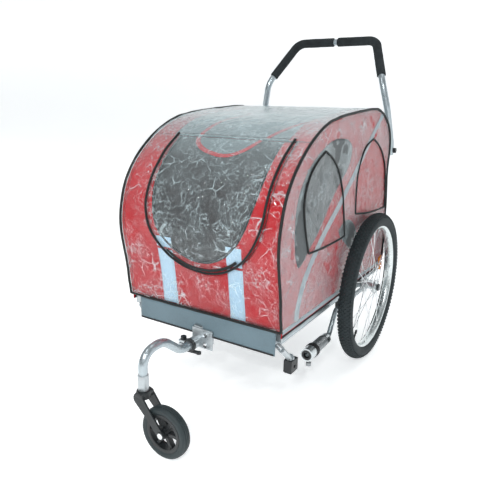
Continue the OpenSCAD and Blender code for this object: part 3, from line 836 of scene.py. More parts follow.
M_silver = metal_mat("silver_paint", (0.46, 0.50, 0.52), 0.30, 0.75, None, 0.25, 0.3, 0.06)
M_tubes = metal_mat("silver_tube", (0.42, 0.48, 0.51), 0.28, 0.8, None, 0.25, 0.4, 0.06)
M_alloy = metal_mat("alloy", (0.66, 0.70, 0.71), 0.26, 1.0)
M_rim = metal_mat("rim_alloy", (0.74, 0.79, 0.79), 0.24, 0.9)
M_steel = metal_mat("steel", (0.34, 0.36, 0.37), 0.38, 1.0)
M_chrome = metal_mat("chrome", (0.78, 0.80, 0.81), 0.10, 1.0, wear=0.04)
M_plastic = plastic_mat("black_plastic", (0.017, 0.020, 0.022), 0.42)
M_fork = plastic_mat("fork_plastic", (0.016, 0.020, 0.022), 0.36, 500)
M_board = plastic_mat("floor_board", (0.03, 0.032, 0.035), 0.7, 300, 0.3, 0.5)
M_tyre = rubber_mat("tyre_rubber", (0.014, 0.022, 0.025))
M_ctyre = rubber_mat("castor_rubber", (0.016, 0.026, 0.029), 0.6)
mm = Mat("grip_foam", (0.012, 0.016, 0.018), 0.88, 0, "obj")
cells = mm.voronoi(900, "F1")
mm.set_color(mm.mix(mm.ramp(mm.noise(30, 4), 0.3, 0.7, 0, 1), (0.009, 0.012, 0.014), (0.020, 0.027, 0.030)))
mm.set_rough(mm.ramp(mm.noise(70, 3), 0.3, 0.7, 0.78, 0.95))
mm.bump(cells, 0.5, 0.0006)
mm.bump(mm.noise(60, 3), 0.25, 0.001)
M_foam = mm.m
mm = Mat("amber_reflector", (0.85, 0.30, 0.02), 0.14, 0, "obj", Coat_Weight=0.6, Coat_Roughness=0.05)
cell = mm.voronoi(260, "F1", None, 0.0)
mm.set_color(mm.mix(mm.ramp(cell, 0.1, 0.6, 0, 1), (1.0, 0.48, 0.06), (0.55, 0.14, 0.01)))
mm.bump(cell, 0.5, 0.001)
M_refl = mm.m

PAINT = {
    "base_front_tube": M_tubes, "base_rail_left": M_tubes, "base_rail_right": M_tubes, "base_cross_tubes": M_tubes,
    "floor_board": M_board, "hinge_lugs": M_silver, "axle_sleeves": M_silver, "wheel_axles": M_steel, "rear_posts": M_tubes,
    "corner_post": M_silver, "foot_block": M_plastic, "tow_guides": M_plastic, "castor_bracket": M_silver,
    "bracket_bolts": M_chrome, "clamp_lever": M_plastic, "castor_arm": M_tubes, "castor_fork": M_fork, "castor_bolts": M_chrome,
    "castor_tyre": M_ctyre, "castor_rim": M_plastic, "tyre_left": M_tyre, "tyre_right": M_tyre, "rim_left": M_rim,
    "rim_right": M_rim, "hub_left": M_alloy, "hub_right": M_alloy, "spokes_left": M_chrome, "spokes_right": M_chrome,
    "reflector_left": M_refl, "reflector_right": M_refl, "hoop_tube_left": M_tubes, "hoop_tube_right": M_tubes,
    "hoop_fittings_left": M_plastic, "hoop_fittings_right": M_plastic, "hoop_pins_left": M_chrome, "hoop_pins_right": M_chrome,
    "roof_bars_left": M_tubes, "roof_bars_right": M_tubes, "handle_tube": M_tubes, "grips": M_foam, "handle_knobs": M_plastic,
    "tow_tube": M_tubes, "tow_spring": M_steel, "coupler": M_alloy, "hitch_plunger": M_steel,
}
for name, mat in PAINT.items():
    for s_ in N[name].material_slots:
        s_.material = mat
    if not N[name].material_slots:
        N[name].data.materials.append(mat)

# ---------------------------------------------------------------- cloth of the cabin
XT = 0.2456                                       # half width of the front, roof and rear cloth
XS = 0.2496                                       # outer face of the side cloth
FX, FR, FZ = 0.022, 0.188, 0.402                  # flap centre, half width, lowest point
TOPD = 0.0075


def u_shape(g, s_top):
    """outline of the flap in (x, s), grown by g, open end at s_top"""
    pts = [(FX + FR + g, s_top)]
    a = np.linspace(0, -math.pi, 61)
    for t in a:
        pts.append((FX + (FR + g) * math.cos(t), float(s_of_z(FZ + FR + (FR + g) * math.sin(t)))))
    pts.append((FX - FR - g, s_top))
    return pts


def dtop(seed, amp=0.0012, edge=True):
    return lambda q: pull(q, seed, amp)


s_h = float(S_HINGE)
front_poly = [(-XT, 0.0), (XT, 0.0), (XT, s_h)] + u_shape(0.0005, s_h)[0:] + [(-XT, s_h)]
front = panel("front_cloth", front_poly, [], top3d(TOPD), 0.009, 0.0016, M_red, dtop(3))
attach(front, "chassis")
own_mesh(front)
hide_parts("front_panel")

roof = panel("roof_cloth", [(-XT, s_h), (XT, s_h), (XT, S_ROOF), (-XT, S_ROOF)], [], top3d(TOPD), 0.010, 0.0016, M_grey, dtop(5, 0.0014))
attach(roof, "chassis")
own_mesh(roof)
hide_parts("roof_panel")
rear = panel("rear_cloth", [(-XT, S_ROOF), (XT, S_ROOF), (XT, S_END), (-XT, S_END)], [], top3d(TOPD), 0.010, 0.0016, M_red, dtop(7, 0.0014))
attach(rear, "chassis")
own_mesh(rear)
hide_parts("rear_panel")


def squashed(ob):
    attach(ob, "chassis")
    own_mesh(ob)
    return ob


def on_flap(ob):
    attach(ob, "front_flap")
    return ob


# red side bands of the roof and the red curved stripe on it
t3 = top3d(TOPD)
for sx, nm in ((-1, "a"), (1, "b")):
    path = [(sx * 0.2145, float(s)) for s in np.linspace(s_h, S_ROOF, 60)]
    b = ribbon("roof_band_" + nm, path, 0.062, t3, 0.0006, 0.0009, M_red, 0.008, 6, dtop(5, 0.0014))
    squashed(b)
    st = resample([(sx * 0.186, float(s)) for s in np.linspace(s_h + 0.003, S_ROOF - 0.003, 40)], 0.006)
    p3, n3 = t3(st)
    q = stitches("roof_band_stitch_" + nm, p3 + n3 * (0.0019 + dtop(5, 0.0014)(st))[:, None], n3, M_threadr, 0.006)
    squashed(q)


def xs_poly(pts):
    """(x, y, z) marks on the front and roof -> (x, s)"""
    out = []
    for x, y, z in pts:
        out.append((x / 1000, float(s_of_z(z / 1000)) if z < 752 else float(s_of_y(y / 1000))))
    return out


tongue = catmull(xs_poly([(-62, 40, 812), (-49, -7, 800), (-78, -84, 791), (-92, -162, 757), (-82, -193, 736), (-48, -215, 719), (-6, -227, 710), (22, -231, 707),
                          (49, -227, 710), (86, -203, 728), (128, -150, 762), (170, -86, 790), (196, -30, 803)]), 8)
above = np.array([p for p in tongue if p[1] > s_h + 0.001])
below = np.array([p for p in tongue if p[1] < s_h - 0.0105])
ia = [i for i, p in enumerate(tongue) if p[1] <= s_h + 0.001]
seg_a, seg_b = tongue[:ia[0]], tongue[ia[-1] + 1:]
for nm, sg in (("a", seg_a), ("b", seg_b)):
    if len(sg) > 3:
        squashed(ribbon("roof_stripe_" + nm, sg, 0.013, t3, 0.0005, 0.0008, M_red, 0.005, 4, dtop(5, 0.0014)))

# ---------------------------------------------------------------- front flap: red border, dark window, grey tongue
FT = s_h - 0.0095
t3f = top3d(TOPD)
win = catmull(xs_poly([(170, 0, 742), (171, 0, 700), (172, 0, 655), (166, 0, 600), (148, 0, 535), (112, 0, 478), (62, 0, 444), (10, 0, 433),
                       (-44, 0, 444), (-92, 0, 474), (-126, 0, 520), (-142, 0, 580), (-149, 0, 640), (-152, 0, 700), (-153, 0, 742)]), 5)
win[:, 1] = np.minimum(win[:, 1], FT)
win = [tuple(p) for p in win]
win[0] = (win[0][0], FT)
win[-1] = (win[-1][0], FT)
border_poly = u_shape(-0.0016, FT) + [p for p in win[::-1]]
fl_d = dtop(9, 0.0011)
border = panel("flap_border", border_poly, [], t3f, 0.008, 0.0014, M_red, fl_d)
on_flap(border)
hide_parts("flap_panel")
window = panel("front_window", win, [], t3f, 0.008, 0.0009, M_mesh, lambda q: fl_d(q) - 0.0003)
on_flap(window)
tg = [tuple(p) for p in below]
tg = [(tg[0][0], FT - 0.0006)] + tg + [(tg[-1][0], FT - 0.0006)]
tong = panel("flap_tongue", tg, [], t3f, 0.008, 0.0008, M_grey, lambda q: fl_d(q) + 0.0013)
on_flap(tong)
on_flap(ribbon("flap_stripe", tg, 0.013, t3f, 0.0014, 0.0008, M_red, 0.005, 4, fl_d))
# window binding with its stitches
wb = resample(win, 0.006)
p3, n3 = t3f(wb)
on_flap(ribbon("window_binding", win, 0.010, t3f, 0.0004, 0.0012, M_blackc, 0.005, 4, fl_d))
on_flap(stitches("window_stitch", p3 + n3 * (0.0019 + fl_d(wb))[:, None], n3, M_thread, 0.006))

# reflective straps: on the flap below the window, and on the front below the flap
for nm, xa, xb in (("a", -0.127, -0.076), ("b", 0.099, 0.145)):
    xm, w = (xa + xb) / 2, xb - xa
    z_win = float(np.interp(xm, [p[0] for p in sorted(win)], [p[1] for p in sorted(win)])) if False else None
    zs = [p for p in win if abs(p[0] - xm) < 0.016]
    s_top = min(p[1] for p in zs) if zs else float(s_of_z(0.48))
    s_top = min(s_top, float(s_of_z(0.56)))
    dx = math.sqrt(max(0.0, (FR - 0.003) ** 2 - (xm - FX) ** 2))
    s_u = float(s_of_z(FZ + FR - dx))
    if s_top - s_u > 0.01:
        on_flap(ribbon("flap_tape_" + nm, [(xm, s_u + 0.004), (xm, s_top + 0.012)], w, t3f, 0.0005, 0.0008, M_tape, 0.006, 8, fl_d))
    fd = dtop(3)
    squashed(ribbon("front_tape_" + nm, [(xm, 0.004), (xm, s_u - 0.004)], w, t3, 0.0005, 0.0008, M_tape, 0.006, 8, fd))
    for e in (-1, 1):
        st = resample([(xm + e * (w / 2 - 0.003), 0.008), (xm + e * (w / 2 - 0.003), s_u - 0.012)], 0.006)
        p3, n3 = t3(st)
        squashed(stitches("tape_stitch_%s%d" % (nm, e + 1), p3 + n3 * (0.0018 + fd(st))[:, None], n3, M_thread))

# ---------------------------------------------------------------- clear rain cover, front to rear
VT = 0.0002
v_d = lambda q: crinkle(q, 21, 0.0026)
XV = 0.2496
cover = panel("rain_cover_top", [(-XV, 0.0), (XV, 0.0), (XV, S_END), (-XV, S_END)],
              [u_shape(0.0006, float(S_HINGE) - 0.0004)], top3d(VT), 0.0058, 0.0005, M_vtop, v_d)
squashed(cover)
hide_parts("rain_cover")
vf = panel("rain_flap", u_shape(-0.0012, s_h - 0.003), [], top3d(VT), 0.0055, 0.0005, M_vtop, v_d)
on_flap(vf)
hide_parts("flap_cover")


def bend_tube(name, q, to3d, r, mat, lift=0.0, wob=0.0006, seed=0, n=10, closed=False):
    p3, n3 = to3d(np.asarray(q))
    d = lift + wob * n2(np.asarray(q), 22, seed)
    return tube(name, p3 + n3 * d[:, None], r, mat, n, closed)


u_pts = resample(u_shape(-0.0045, s_h - 0.004), 0.006)
on_flap(bend_tube("flap_piping", u_pts, top3d(VT), 0.0033, M_black, 0.0016, 0.0022, 5))
u2 = resample([p for p in u_shape(-0.013, s_h - 0.03) if p[1] < s_of_z(0.455)], 0.006)
on_flap(ribbon("flap_piping_hem", u2, 0.008, top3d(VT), 0.0008, 0.0008, M_blackc, 0.005, 4, lambda q: v_d(q)))

# hem of the front and of the rear
for nm, s0 in (("front", 0.002), ("rear", S_END - 0.003)):
    q = resample([(-XV, s0), (XV, s0)], 0.008)
    squashed(bend_tube(nm + "_hem_piping", q, top3d(VT), 0.0034, M_black, 0.0008, 0.0018, 8))

# ---------------------------------------------------------------- sides
def out2(d, zlo):
    """outline in (y, z) inset by d and cut off at zlo"""
    P = C + NRM * d
    P = P[P[:, 1] > zlo]
    return [(P[0, 0], zlo)] + [tuple(p) for p in P[::2]] + [(P[-1, 0], zlo)]


LENS = [(31, 747), (78, 738), (104, 712), (79, 660), (11, 615), (-46, 565), (-99, 512), (-160, 468), (-202, 438), (-222, 441),
        (-239, 486), (-246, 555), (-234, 613), (-200, 664), (-146, 704), (-74, 736), (-21, 747)]
LENS2 = [(44, 486), (96, 506), (150, 492), (196, 452), (226, 404), (214, 372), (160, 398), (104, 432), (58, 462)]
STRIPE = [(366, 812), (330, 789), (265, 740), (164, 659), (57, 578), (-51, 505), (-123, 445), (-174, 390), (-204, 335), (-214, 292)]
FLAP_F = [(-91, 719), (-150, 690), (-192, 645), (-204, 590), (-190, 529), (-163, 461), (-85, 457), (17, 456), (88, 459), (69, 530), (45, 600), (6, 660), (-40, 697)]
FLAP_R = [(281, 738), (212, 712), (168, 652), (162, 585), (170, 514), (280, 500), (380, 494), (468, 492), (455, 560), (430, 640), (385, 690), (330, 722)]


def sm_poly(pts, n=5):
    return catmull([(a / 1000, b / 1000) for a, b in pts], n, True)


def gothic(pts, corners, n=6):
    """closed outline: smooth runs between the named sharp corners"""
    m = len(pts)
    P = [(a / 1000, b / 1000) for a, b in pts]
    out = []
    cs = sorted(corners)
    for a, b in zip(cs, cs[1:] + [cs[0] + m]):
        run = [P[i % m] for i in range(a, b + 1)]
        out += [tuple(p) for p in catmull(run, n)[:-1]]
    return out


def cut_above(poly, top, lo, hi):
    return [p for p in poly if lo <= p[1] <= hi]


for s in (1, -1):
    sn = "right" if s > 0 else "left"
    hoop = "hoop_" + sn
    hinge = lambda ob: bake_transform(ob)
    cd = (lambda sd: (lambda q: np.clip(pull(q, sd, 0.0008), -0.0012, 0.0010)))(31 + s)
    to = side3d(s * XS)
    body = panel("side_cloth_" + sn, out2(0.0085, 0.268), [], to, 0.010, 0.0016, M_redside, cd)
    hinge(body)
    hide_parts("side_panel_" + sn, "side_skirts")
    o1 = panel("side_window_" + sn, sm_poly(LENS), [], to, 0.008, 0.0010, M_lens, lambda q: cd(q) + 0.0008)
    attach(o1, hoop)
    o2 = panel("side_window_low_" + sn, sm_poly(LENS2), [], to, 0.008, 0.0010, M_lens, lambda q: cd(q) + 0.0008)
    hinge(o2)
    sp = catmull([(a / 1000, b / 1000) for a, b in STRIPE], 6)
    o3 = ribbon("side_stripe_" + sn, sp, (0.020, 0.026), to, 0.0009, 0.0008, M_stripe, 0.008, 4, cd)
    hinge(o3)
    q = resample(list(sm_poly(LENS)) + [tuple(sm_poly(LENS)[0])], 0.006)
    p3, n3 = to(q)
    o4 = stitches("side_window_stitch_" + sn, p3 + n3 * (0.0012 + cd(q))[:, None], n3, M_thread, 0.006)
    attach(o4, hoop)
    # silver-grey strip and black hem under it
    ya, yb = out2(0.0085, 0.283)[0][0] + 0.004, out2(0.0085, 0.283)[-1][0] - 0.004
    o5 = ribbon("side_strip_" + sn, [(ya, 0.283), (yb, 0.283)], 0.013, to, 0.0004, 0.0008, M_stripe, 0.01, 4, cd)
    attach(o5, "chassis")
    q = resample([(ya - 0.002, 0.271), (yb + 0.002, 0.271)], 0.01)
    o6 = bend_tube("side_hem_" + sn, q, to, 0.0033, M_black, -0.0008, 0.0010, 3)
    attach(o6, "chassis")
    # seam cord where the side meets the top
    P = C + NRM * 0.0078
    P = P[P[:, 1] > 0.272]
    x = s * 0.2478
    o7 = tube("seam_cord_" + sn, resample(np.stack([np.full(len(P), x), P[:, 0], P[:, 1]], 1), 0.01), 0.0026, M_red, 8)
    hinge(o7)
    # clear side of the rain cover with two bound vents
    xv = s * 0.2513
    tv = side3d(xv)
    vd = (lambda sd: (lambda q: np.clip(crinkle(q, sd, 0.0016), -0.0011, 0.0030)))(51 + s)
    hf = gothic(FLAP_F, [0, 5, 8])
    hr = gothic(FLAP_R, [0, 4, 7])
    o8 = panel("rain_side_" + sn, out2(0.003, 0.287), [hf, hr], tv, 0.0062, 0.0005, M_vside, vd)
    hinge(o8)
    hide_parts("rain_cover_" + sn)
    for nm, hp, sd in (("front", hf, 61), ("rear", hr, 71)):
        fd = (lambda sd: (lambda q: np.clip(0.0006 + crinkle(q * 1.3, sd, 0.0026), -0.0006, 0.0045)))(sd + s)
        o9 = panel("vent_flap_%s_%s" % (nm, sn), hp, [], tv, 0.006, 0.0005, M_vflap, fd)
        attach(o9, hoop)
        q = resample(list(hp) + [hp[0]], 0.006)[:-1]
        o10 = bend_tube("vent_piping_%s_%s" % (nm, sn), q, tv, 0.0028, M_black, 0.0012, 0.0008, sd, 8, True)
        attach(o10, hoop)
    # outline piping of the rain cover
    P = C + NRM * 0.0016
    P = P[P[:, 1] > 0.272]
    wv = 0.0011 * vn(np.stack([P[:, 0] * 30, P[:, 1] * 30, np.zeros(len(P))], 1), 4)
    q3 = np.stack([np.full(len(P), s * 0.2518) + wv * 0.6, P[:, 0], P[:, 1] + wv], 1)
    o11 = tube("cover_piping_" + sn, resample(q3, 0.008), 0.0038, M_black, 12)
    hinge(o11)

# grey cloth band at the front under the hem
def band3d(q):
    nn = np.zeros((len(q), 3))
    nn[:, 1] = -1
    return np.stack([q[:, 0], np.full(len(q), -0.3028), q[:, 1]], 1), nn


bd = lambda q: pull(q, 83, 0.0007) + 0.0010
bp = [(-0.210, 0.285), (-0.2095, 0.2225), (-0.0145, 0.2222), (-0.0145, 0.2480), (0.0145, 0.2480), (0.0145, 0.2360), (0.048, 0.2360), (0.048, 0.2222), (0.2395, 0.2225), (0.240, 0.285)]
bandc = panel("front_band_cloth", bp, [], band3d, 0.008, 0.0016, M_band, bd)
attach(bandc, "chassis")
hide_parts("front_band")
for nm, a, b in (("a", -0.207, -0.0175), ("b", 0.0515, 0.237)):
    q = resample([(a, 0.2252), (b, 0.2252)], 0.008)
    o = ribbon("band_hem_" + nm, q, 0.005, band3d, 0.0008, 0.0008, M_blackc, 0.008, 3, bd)
    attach(o, "chassis")

# ---------------------------------------------------------------- tubes, smooth
def mm3(pts):
    return [tuple(v / 1000 for v in p) for p in pts]


for s, sn, zf in ((-1, "left", 345), (1, "right", 375)):
    rt = [(s * 235, y, z) for y, z in [(-280, zf + 20), (-310, 560), (-172, 735), (20, 787), (300, 808), (446, 738), (440, 620), (469, 490), (468, zf + 20)]]
    o = tube("hoop_" + sn + "_tube", arc_route(mm3(rt), [0, .18, .17, .2, .15, .066, .1, .1, 0]), 0.0095, M_tubes, 24)
    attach(o, "hoop_" + sn)
    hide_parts("hoop_tube_" + sn)

HR = [(243, 512, 674), (243, 506, 715), (238, 441, 835), (219, 427, 915), (150, 529.8, 1062)]
HP = HR + [(-x, y, z) for x, y, z in HR[::-1]]
o = tube("push_handle_tube", arc_route(mm3(HP), [0, .06, .06, .07, .04, .04, .07, .06, .06, 0]), 0.011, M_tubes, 28)
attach(o, "handle")
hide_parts("handle_tube")
g0 = Vector(HR[3]) / 1000
g1 = Vector(HR[4]) / 1000
gd = (g1 - g0).normalized()
gs = []
for m_ in (1, -1):
    pts = [g0 + gd * 0.030, g1, Vector((0.006, g1.y, g1.z))]
    rt = resample(arc_route([(m_ * p.x, p.y, p.z) for p in pts], [0, .04, 0]), 0.004)
    n_ = len(rt)
    rr = np.full(n_, 0.0153) + 0.00035 * vn(np.stack([np.arange(n_) * 0.23, np.zeros(n_), np.zeros(n_)], 1), 3 + m_)
    rr[0] = rr[-1] = 0.0146
    o = tube("foam_grip_" + ("r" if m_ > 0 else "l"), rt, rr, M_foam, 28)
    gs.append(o)
grip = join("foam_grips", gs)
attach(grip, "handle")
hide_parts("grips")

o = tube("castor_arm_tube", arc_route(mm3([(0, -279, 204), (0, -380, 204), (0, -450, 259), (0, -522, 252), (0, -522, 158.5)]), [0, .06, .066, .04, 0]), 0.0115, M_tubes, 32)
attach(o, "castor_arm")
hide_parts("castor_arm")
prof = [(0.0112, 0.1585), (0.0128, 0.1585), (0.0134, 0.1595), (0.0134, 0.1985), (0.0128, 0.200), (0.0112, 0.200)]
o = revolve("swivel_collar", [(r, z) for r, z in prof], (0, -0.522, 0), (0, 0, 1), M_silver, 48)
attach(o, "castor_arm")

o = tube("tow_arm_tube", arc_route(mm3([(228, 57, 130), (228, 78, 130), (228, 126, 203), (228, 470, 203)]), [0, .024, .024, 0]), 0.008, M_tubes, 24)
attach(o, "tow_arm")
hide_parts("tow_tube")

# coil spring of the hitch
a = np.linspace(0, 2 * math.pi * 9.5, 9 * 28)
yy = np.linspace(-0.0325, 0.0345, len(a))
hel = np.stack([0.228 + 0.0145 * np.cos(a), yy, 0.130 + 0.0145 * np.sin(a)], 1)
o = tube("hitch_coil_spring", hel, 0.0033, M_steel, 10)
core = revolve("hitch_cable", [(0.0001, -0.034), (0.006, -0.034), (0.006, 0.036), (0.0001, 0.036)], (0.228, 0, 0.130), (0, 1, 0), M_plastic, 20)
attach(core, "tow_arm")
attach(o, "tow_arm")
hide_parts("tow_spring")

# ---------------------------------------------------------------- main wheels
WC = {1: Vector((0.284, 0.286, 0.250)), -1: Vector((-0.284, 0.286, 0.250))}


def tyre_profile(R, w, rim_r, n=40, flat=0.0):
    pts = []
    rc = R - w / 2
    a0 = math.radians(152)
    for t in np.linspace(-a0, a0, n):
        pts.append((rc + w / 2 * math.cos(t), w / 2 * math.sin(t)))
    # rounded inner side between the beads
    pts.append((rim_r, w / 2 * math.sin(a0) * 0.8))
    pts.append((rim_r, -w / 2 * math.sin(a0) * 0.8))
    return pts


def knob_mesh(name, centre, R, w, rows, nround, mat, hgt=0.0026):
    """Tread of tapered blocks in staggered rows on a round tyre about the X axis"""
    V, F = [], []
    rc = R - hgt - w / 2
    for (ang, la, lc, off, skew) in rows:
        for i in range(nround):
            th = 2 * math.pi * (i + off) / nround
            for k, (h, sc) in enumerate(((-0.0008, 1.0), (hgt * 0.8, 0.86), (hgt, 0.74))):
                for (u, v) in ((-1, -1), (1, -1), (1, 1), (-1, 1)):
                    al = ang + v * lc / 2 * sc / (w / 2)
                    tt = th + (u * la / 2 * sc + skew * v * lc * 0.5) / R
                    rr = rc + (w / 2 + h) * math.cos(al)
                    x = (w / 2 + h) * math.sin(al)
                    V.append((centre[0] + x, centre[1] + rr * math.cos(tt), centre[2] + rr * math.sin(tt)))
            o = len(V) - 12
            for k in range(2):
                for j in range(4):
                    F.append((o + k * 4 + j, o + k * 4 + (j + 1) % 4, o + (k + 1) * 4 + (j + 1) % 4, o + (k + 1) * 4 + j))
            F.append((o + 8, o + 9, o + 10, o + 11))
            F.append((o + 3, o + 2, o + 1, o))
    ob = new_obj(name, V, F, None, mat, False)
    fix_winding(ob)
    return ob


for s, sn in ((1, "right"), (-1, "left")):
    c = WC[s]
    body = "wheel_" + sn
    tp = tyre_profile(0.2474, 0.0455, 0.2095)
    o1 = revolve("tyre_body_" + sn, tp, c, (1, 0, 0), M_tyre, 200, 60)
    rows = [(0.0, 0.0105, 0.0062, 0.0, 0.25), (0.30, 0.0100, 0.0052, 0.5, 0.25), (-0.30, 0.0100, 0.0052, 0.5, -0.25),
            (0.62, 0.0088, 0.0060, 0.0, 0.15), (-0.62, 0.0088, 0.0060, 0.0, -0.15), (0.95, 0.0072, 0.0058, 0.5, 0.0), (-0.95, 0.0072, 0.0058, 0.5, 0.0)]
    o2 = knob_mesh("tyre_tread_" + sn, c, 0.250, 0.047, rows, 112, M_tyre)
    o3 = []
    for sd in (-1, 1):
        for rr, xx in ((0.2145, 0.0155), (0.2185, 0.0200)):
            ring = [(c.x + sd * xx, c.y + rr * math.cos(t), c.z + rr * math.sin(t)) for t in np.linspace(0, 2 * math.pi, 160, endpoint=False)]
            o3.append(tube("ring", ring, 0.0008, M_tyre, 6, True))
    ty = join("tyre_" + sn + "_knobbed", [o1, o2] + o3)
    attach(ty, body)
    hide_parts("tyre_" + sn)
    rp = [(0.2120, -0.0128), (0.2132, -0.0136), (0.2128, -0.0146), (0.2105, -0.0147), (0.2060, -0.0143), (0.2030, -0.0128), (0.1995, -0.0085),
          (0.1975, -0.0040), (0.1968, 0.0), (0.1975, 0.0040), (0.1995, 0.0085), (0.2030, 0.0128), (0.2060, 0.0143), (0.2105, 0.0147),
          (0.2128, 0.0146), (0.2132, 0.0136), (0.2120, 0.0128), (0.2095, 0.0118), (0.2050, 0.0060), (0.2046, 0.0), (0.2050, -0.0060), (0.2095, -0.0118)]
    rim = revolve("rim_" + sn + "_hoop", rp, c, (1, 0, 0), M_rim, 200, 40)
    # eyelets and spoke nipples
    bits = []
    for f in (0, 1):
        for k in range(7):
            for d in (-1, 1):
                a_ = math.radians(k * 360 / 7 + f * 180 / 7)
                ar = a_ + d * math.radians(90 - 360 / 28 / 2)
                xr = c.x + s * (-5 if f == 0 else 5) / 1000 + d * 0.0012
                xh = s * (265.7 if f == 0 else 301.7) / 1000 + d * 0.0032
                p1 = Vector((xr, c.y + 0.1972 * math.cos(ar), c.z + 0.1972 * math.sin(ar)))
                p0 = Vector((xh, c.y + 0.0215 * math.cos(a_), c.z + 0.0215 * math.sin(a_)))
                dd = (p1 - p0).normalized()
                bits.append(tube("nip", [tuple(p1 - dd * 0.013), tuple(p1 - dd * 0.004), tuple(p1 + dd * 0.001)], [0.0015, 0.0019, 0.0024], M_chrome, 8))
                bits.append(tube("elbow", [tuple(p0 - dd * 0.001), tuple(p0), tuple(p0 + dd * 0.002)], [0.0019, 0.0019, 0.0014], M_chrome, 8))
    nip = join("spoke_nipples_" + sn, bits)
    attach(nip, body)
    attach(rim, body)
    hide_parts("rim_" + sn)
    va = math.radians(-40)
    ez = Vector((0, -math.sin(va), math.cos(va)))
    vp = [c - ez * 0.2015, c - ez * 0.196, c - ez * 0.176, c - ez * 0.175, c - ez * 0.163]
    valve = tube("valve_" + sn, [tuple(p) for p in vp], [0.0042, 0.0030, 0.0030, 0.0040, 0.0036], M_plastic, 16)
    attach(valve, body)
    # hub: barrel, flanges, cone covers
    hx0, hx1 = 0.257, 0.3085
    hp_ = [(0.0062, hx0), (0.0105, hx0), (0.0122, hx0 + 0.001), (0.0125, 0.2630), (0.0180, 0.2638), (0.0236, 0.2642), (0.0240, 0.2650), (0.0240, 0.2668),
           (0.0234, 0.2675), (0.0170, 0.2680), (0.0120, 0.2710), (0.0106, 0.2760), (0.0106, 0.2920), (0.0120, 0.2970), (0.0170, 0.2998), (0.0234, 0.3000),
           (0.0240, 0.3008), (0.0240, 0.3026), (0.0234, 0.3035), (0.0180, 0.3038), (0.0125, 0.3046), (0.0122, hx1 - 0.001), (0.0105, hx1), (0.0062, hx1)]
    hub = revolve("hub_" + sn + "_barrel", [(r_, s * x_) for r_, x_ in hp_], (0, c.y, c.z), (1, 0, 0), M_alloy, 64, 30)
    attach(hub, body)
    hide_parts("hub_" + sn)
    # reflector box with a raised frame
    rotm = Matrix.Rotation(math.radians(-72), 3, "X")
    cc = c + Vector((-s * 0.016, 0, 0))
    o4 = box_round("reflector_" + sn + "_lens", (0, 0, 0.149), (0.0058, 0.044, 0.018), 0.0018, M_refl)
    o5 = [box_round("fr", (0, e * 0.0232, 0.149), (0.0068, 0.0026, 0.0225), 0.0008, M_refl) for e in (-1, 1)]
    o5 += [box_round("fr", (0, 0, 0.149 + e * 0.0100), (0.0068, 0.0485, 0.0024), 0.0008, M_refl) for e in (-1, 1)]
    rf = join("reflector_" + sn + "_box", [o4] + o5)
    rf.data.transform(Matrix.Translation(cc) @ rotm.to_4x4())
    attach(rf, body)
    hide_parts("reflector_" + sn)
    # domed axle cap
    cap = revolve("axle_cap_" + sn, [(0.0001, s * 0.3176), (0.0055, s * 0.3173), (0.0085, s * 0.3160), (0.0120, s * 0.3140), (0.0122, s * 0.3098), (0.0001, s * 0.3098)],
                  (0, c.y, c.z), (1, 0, 0), M_plastic, 32, 50)
    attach(cap, "chassis")

# ---------------------------------------------------------------- castor wheel
th = 0.0
cx = Vector((math.cos(th), math.sin(th), 0))
cy = Vector((-math.sin(th), math.cos(th), 0))
cw = Vector((0, -0.522, 0)) + cx * 0.068 + Vector((0, 0, 0.067))
pf = [(0.0492, -0.0112), (0.0520, -0.0122), (0.0560, -0.0136), (0.0605, -0.0138), (0.0635, -0.0126), (0.0654, -0.0102), (0.0662, -0.0070), (0.0650, -0.0062),
      (0.0650, -0.0050), (0.0667, -0.0042), (0.0670, -0.0012), (0.0656, -0.0006), (0.0656, 0.0006), (0.0670, 0.0012), (0.0667, 0.0042), (0.0650, 0.0050),
      (0.0650, 0.0062), (0.0662, 0.0070), (0.0654, 0.0102), (0.0635, 0.0126), (0.0605, 0.0138), (0.0560, 0.0136), (0.0520, 0.0122), (0.0492, 0.0112)]
ct = revolve("castor_tyre_grooved", pf, cw, cy, M_ctyre, 120, 40)
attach(ct, "castor_wheel")
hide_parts("castor_tyre")
cov = revolve("castor_rim_lip", [(0.0410, -0.0118), (0.0440, -0.0126), (0.0495, -0.0122), (0.0500, -0.0112), (0.0500, 0.0112), (0.0495, 0.0122), (0.0440, 0.0126), (0.0410, 0.0118), (0.0402, 0.0)],
              cw, cy, M_plastic, 96, 40)
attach(cov, "castor_wheel")
# fork: shaped legs and crown
import bmesh


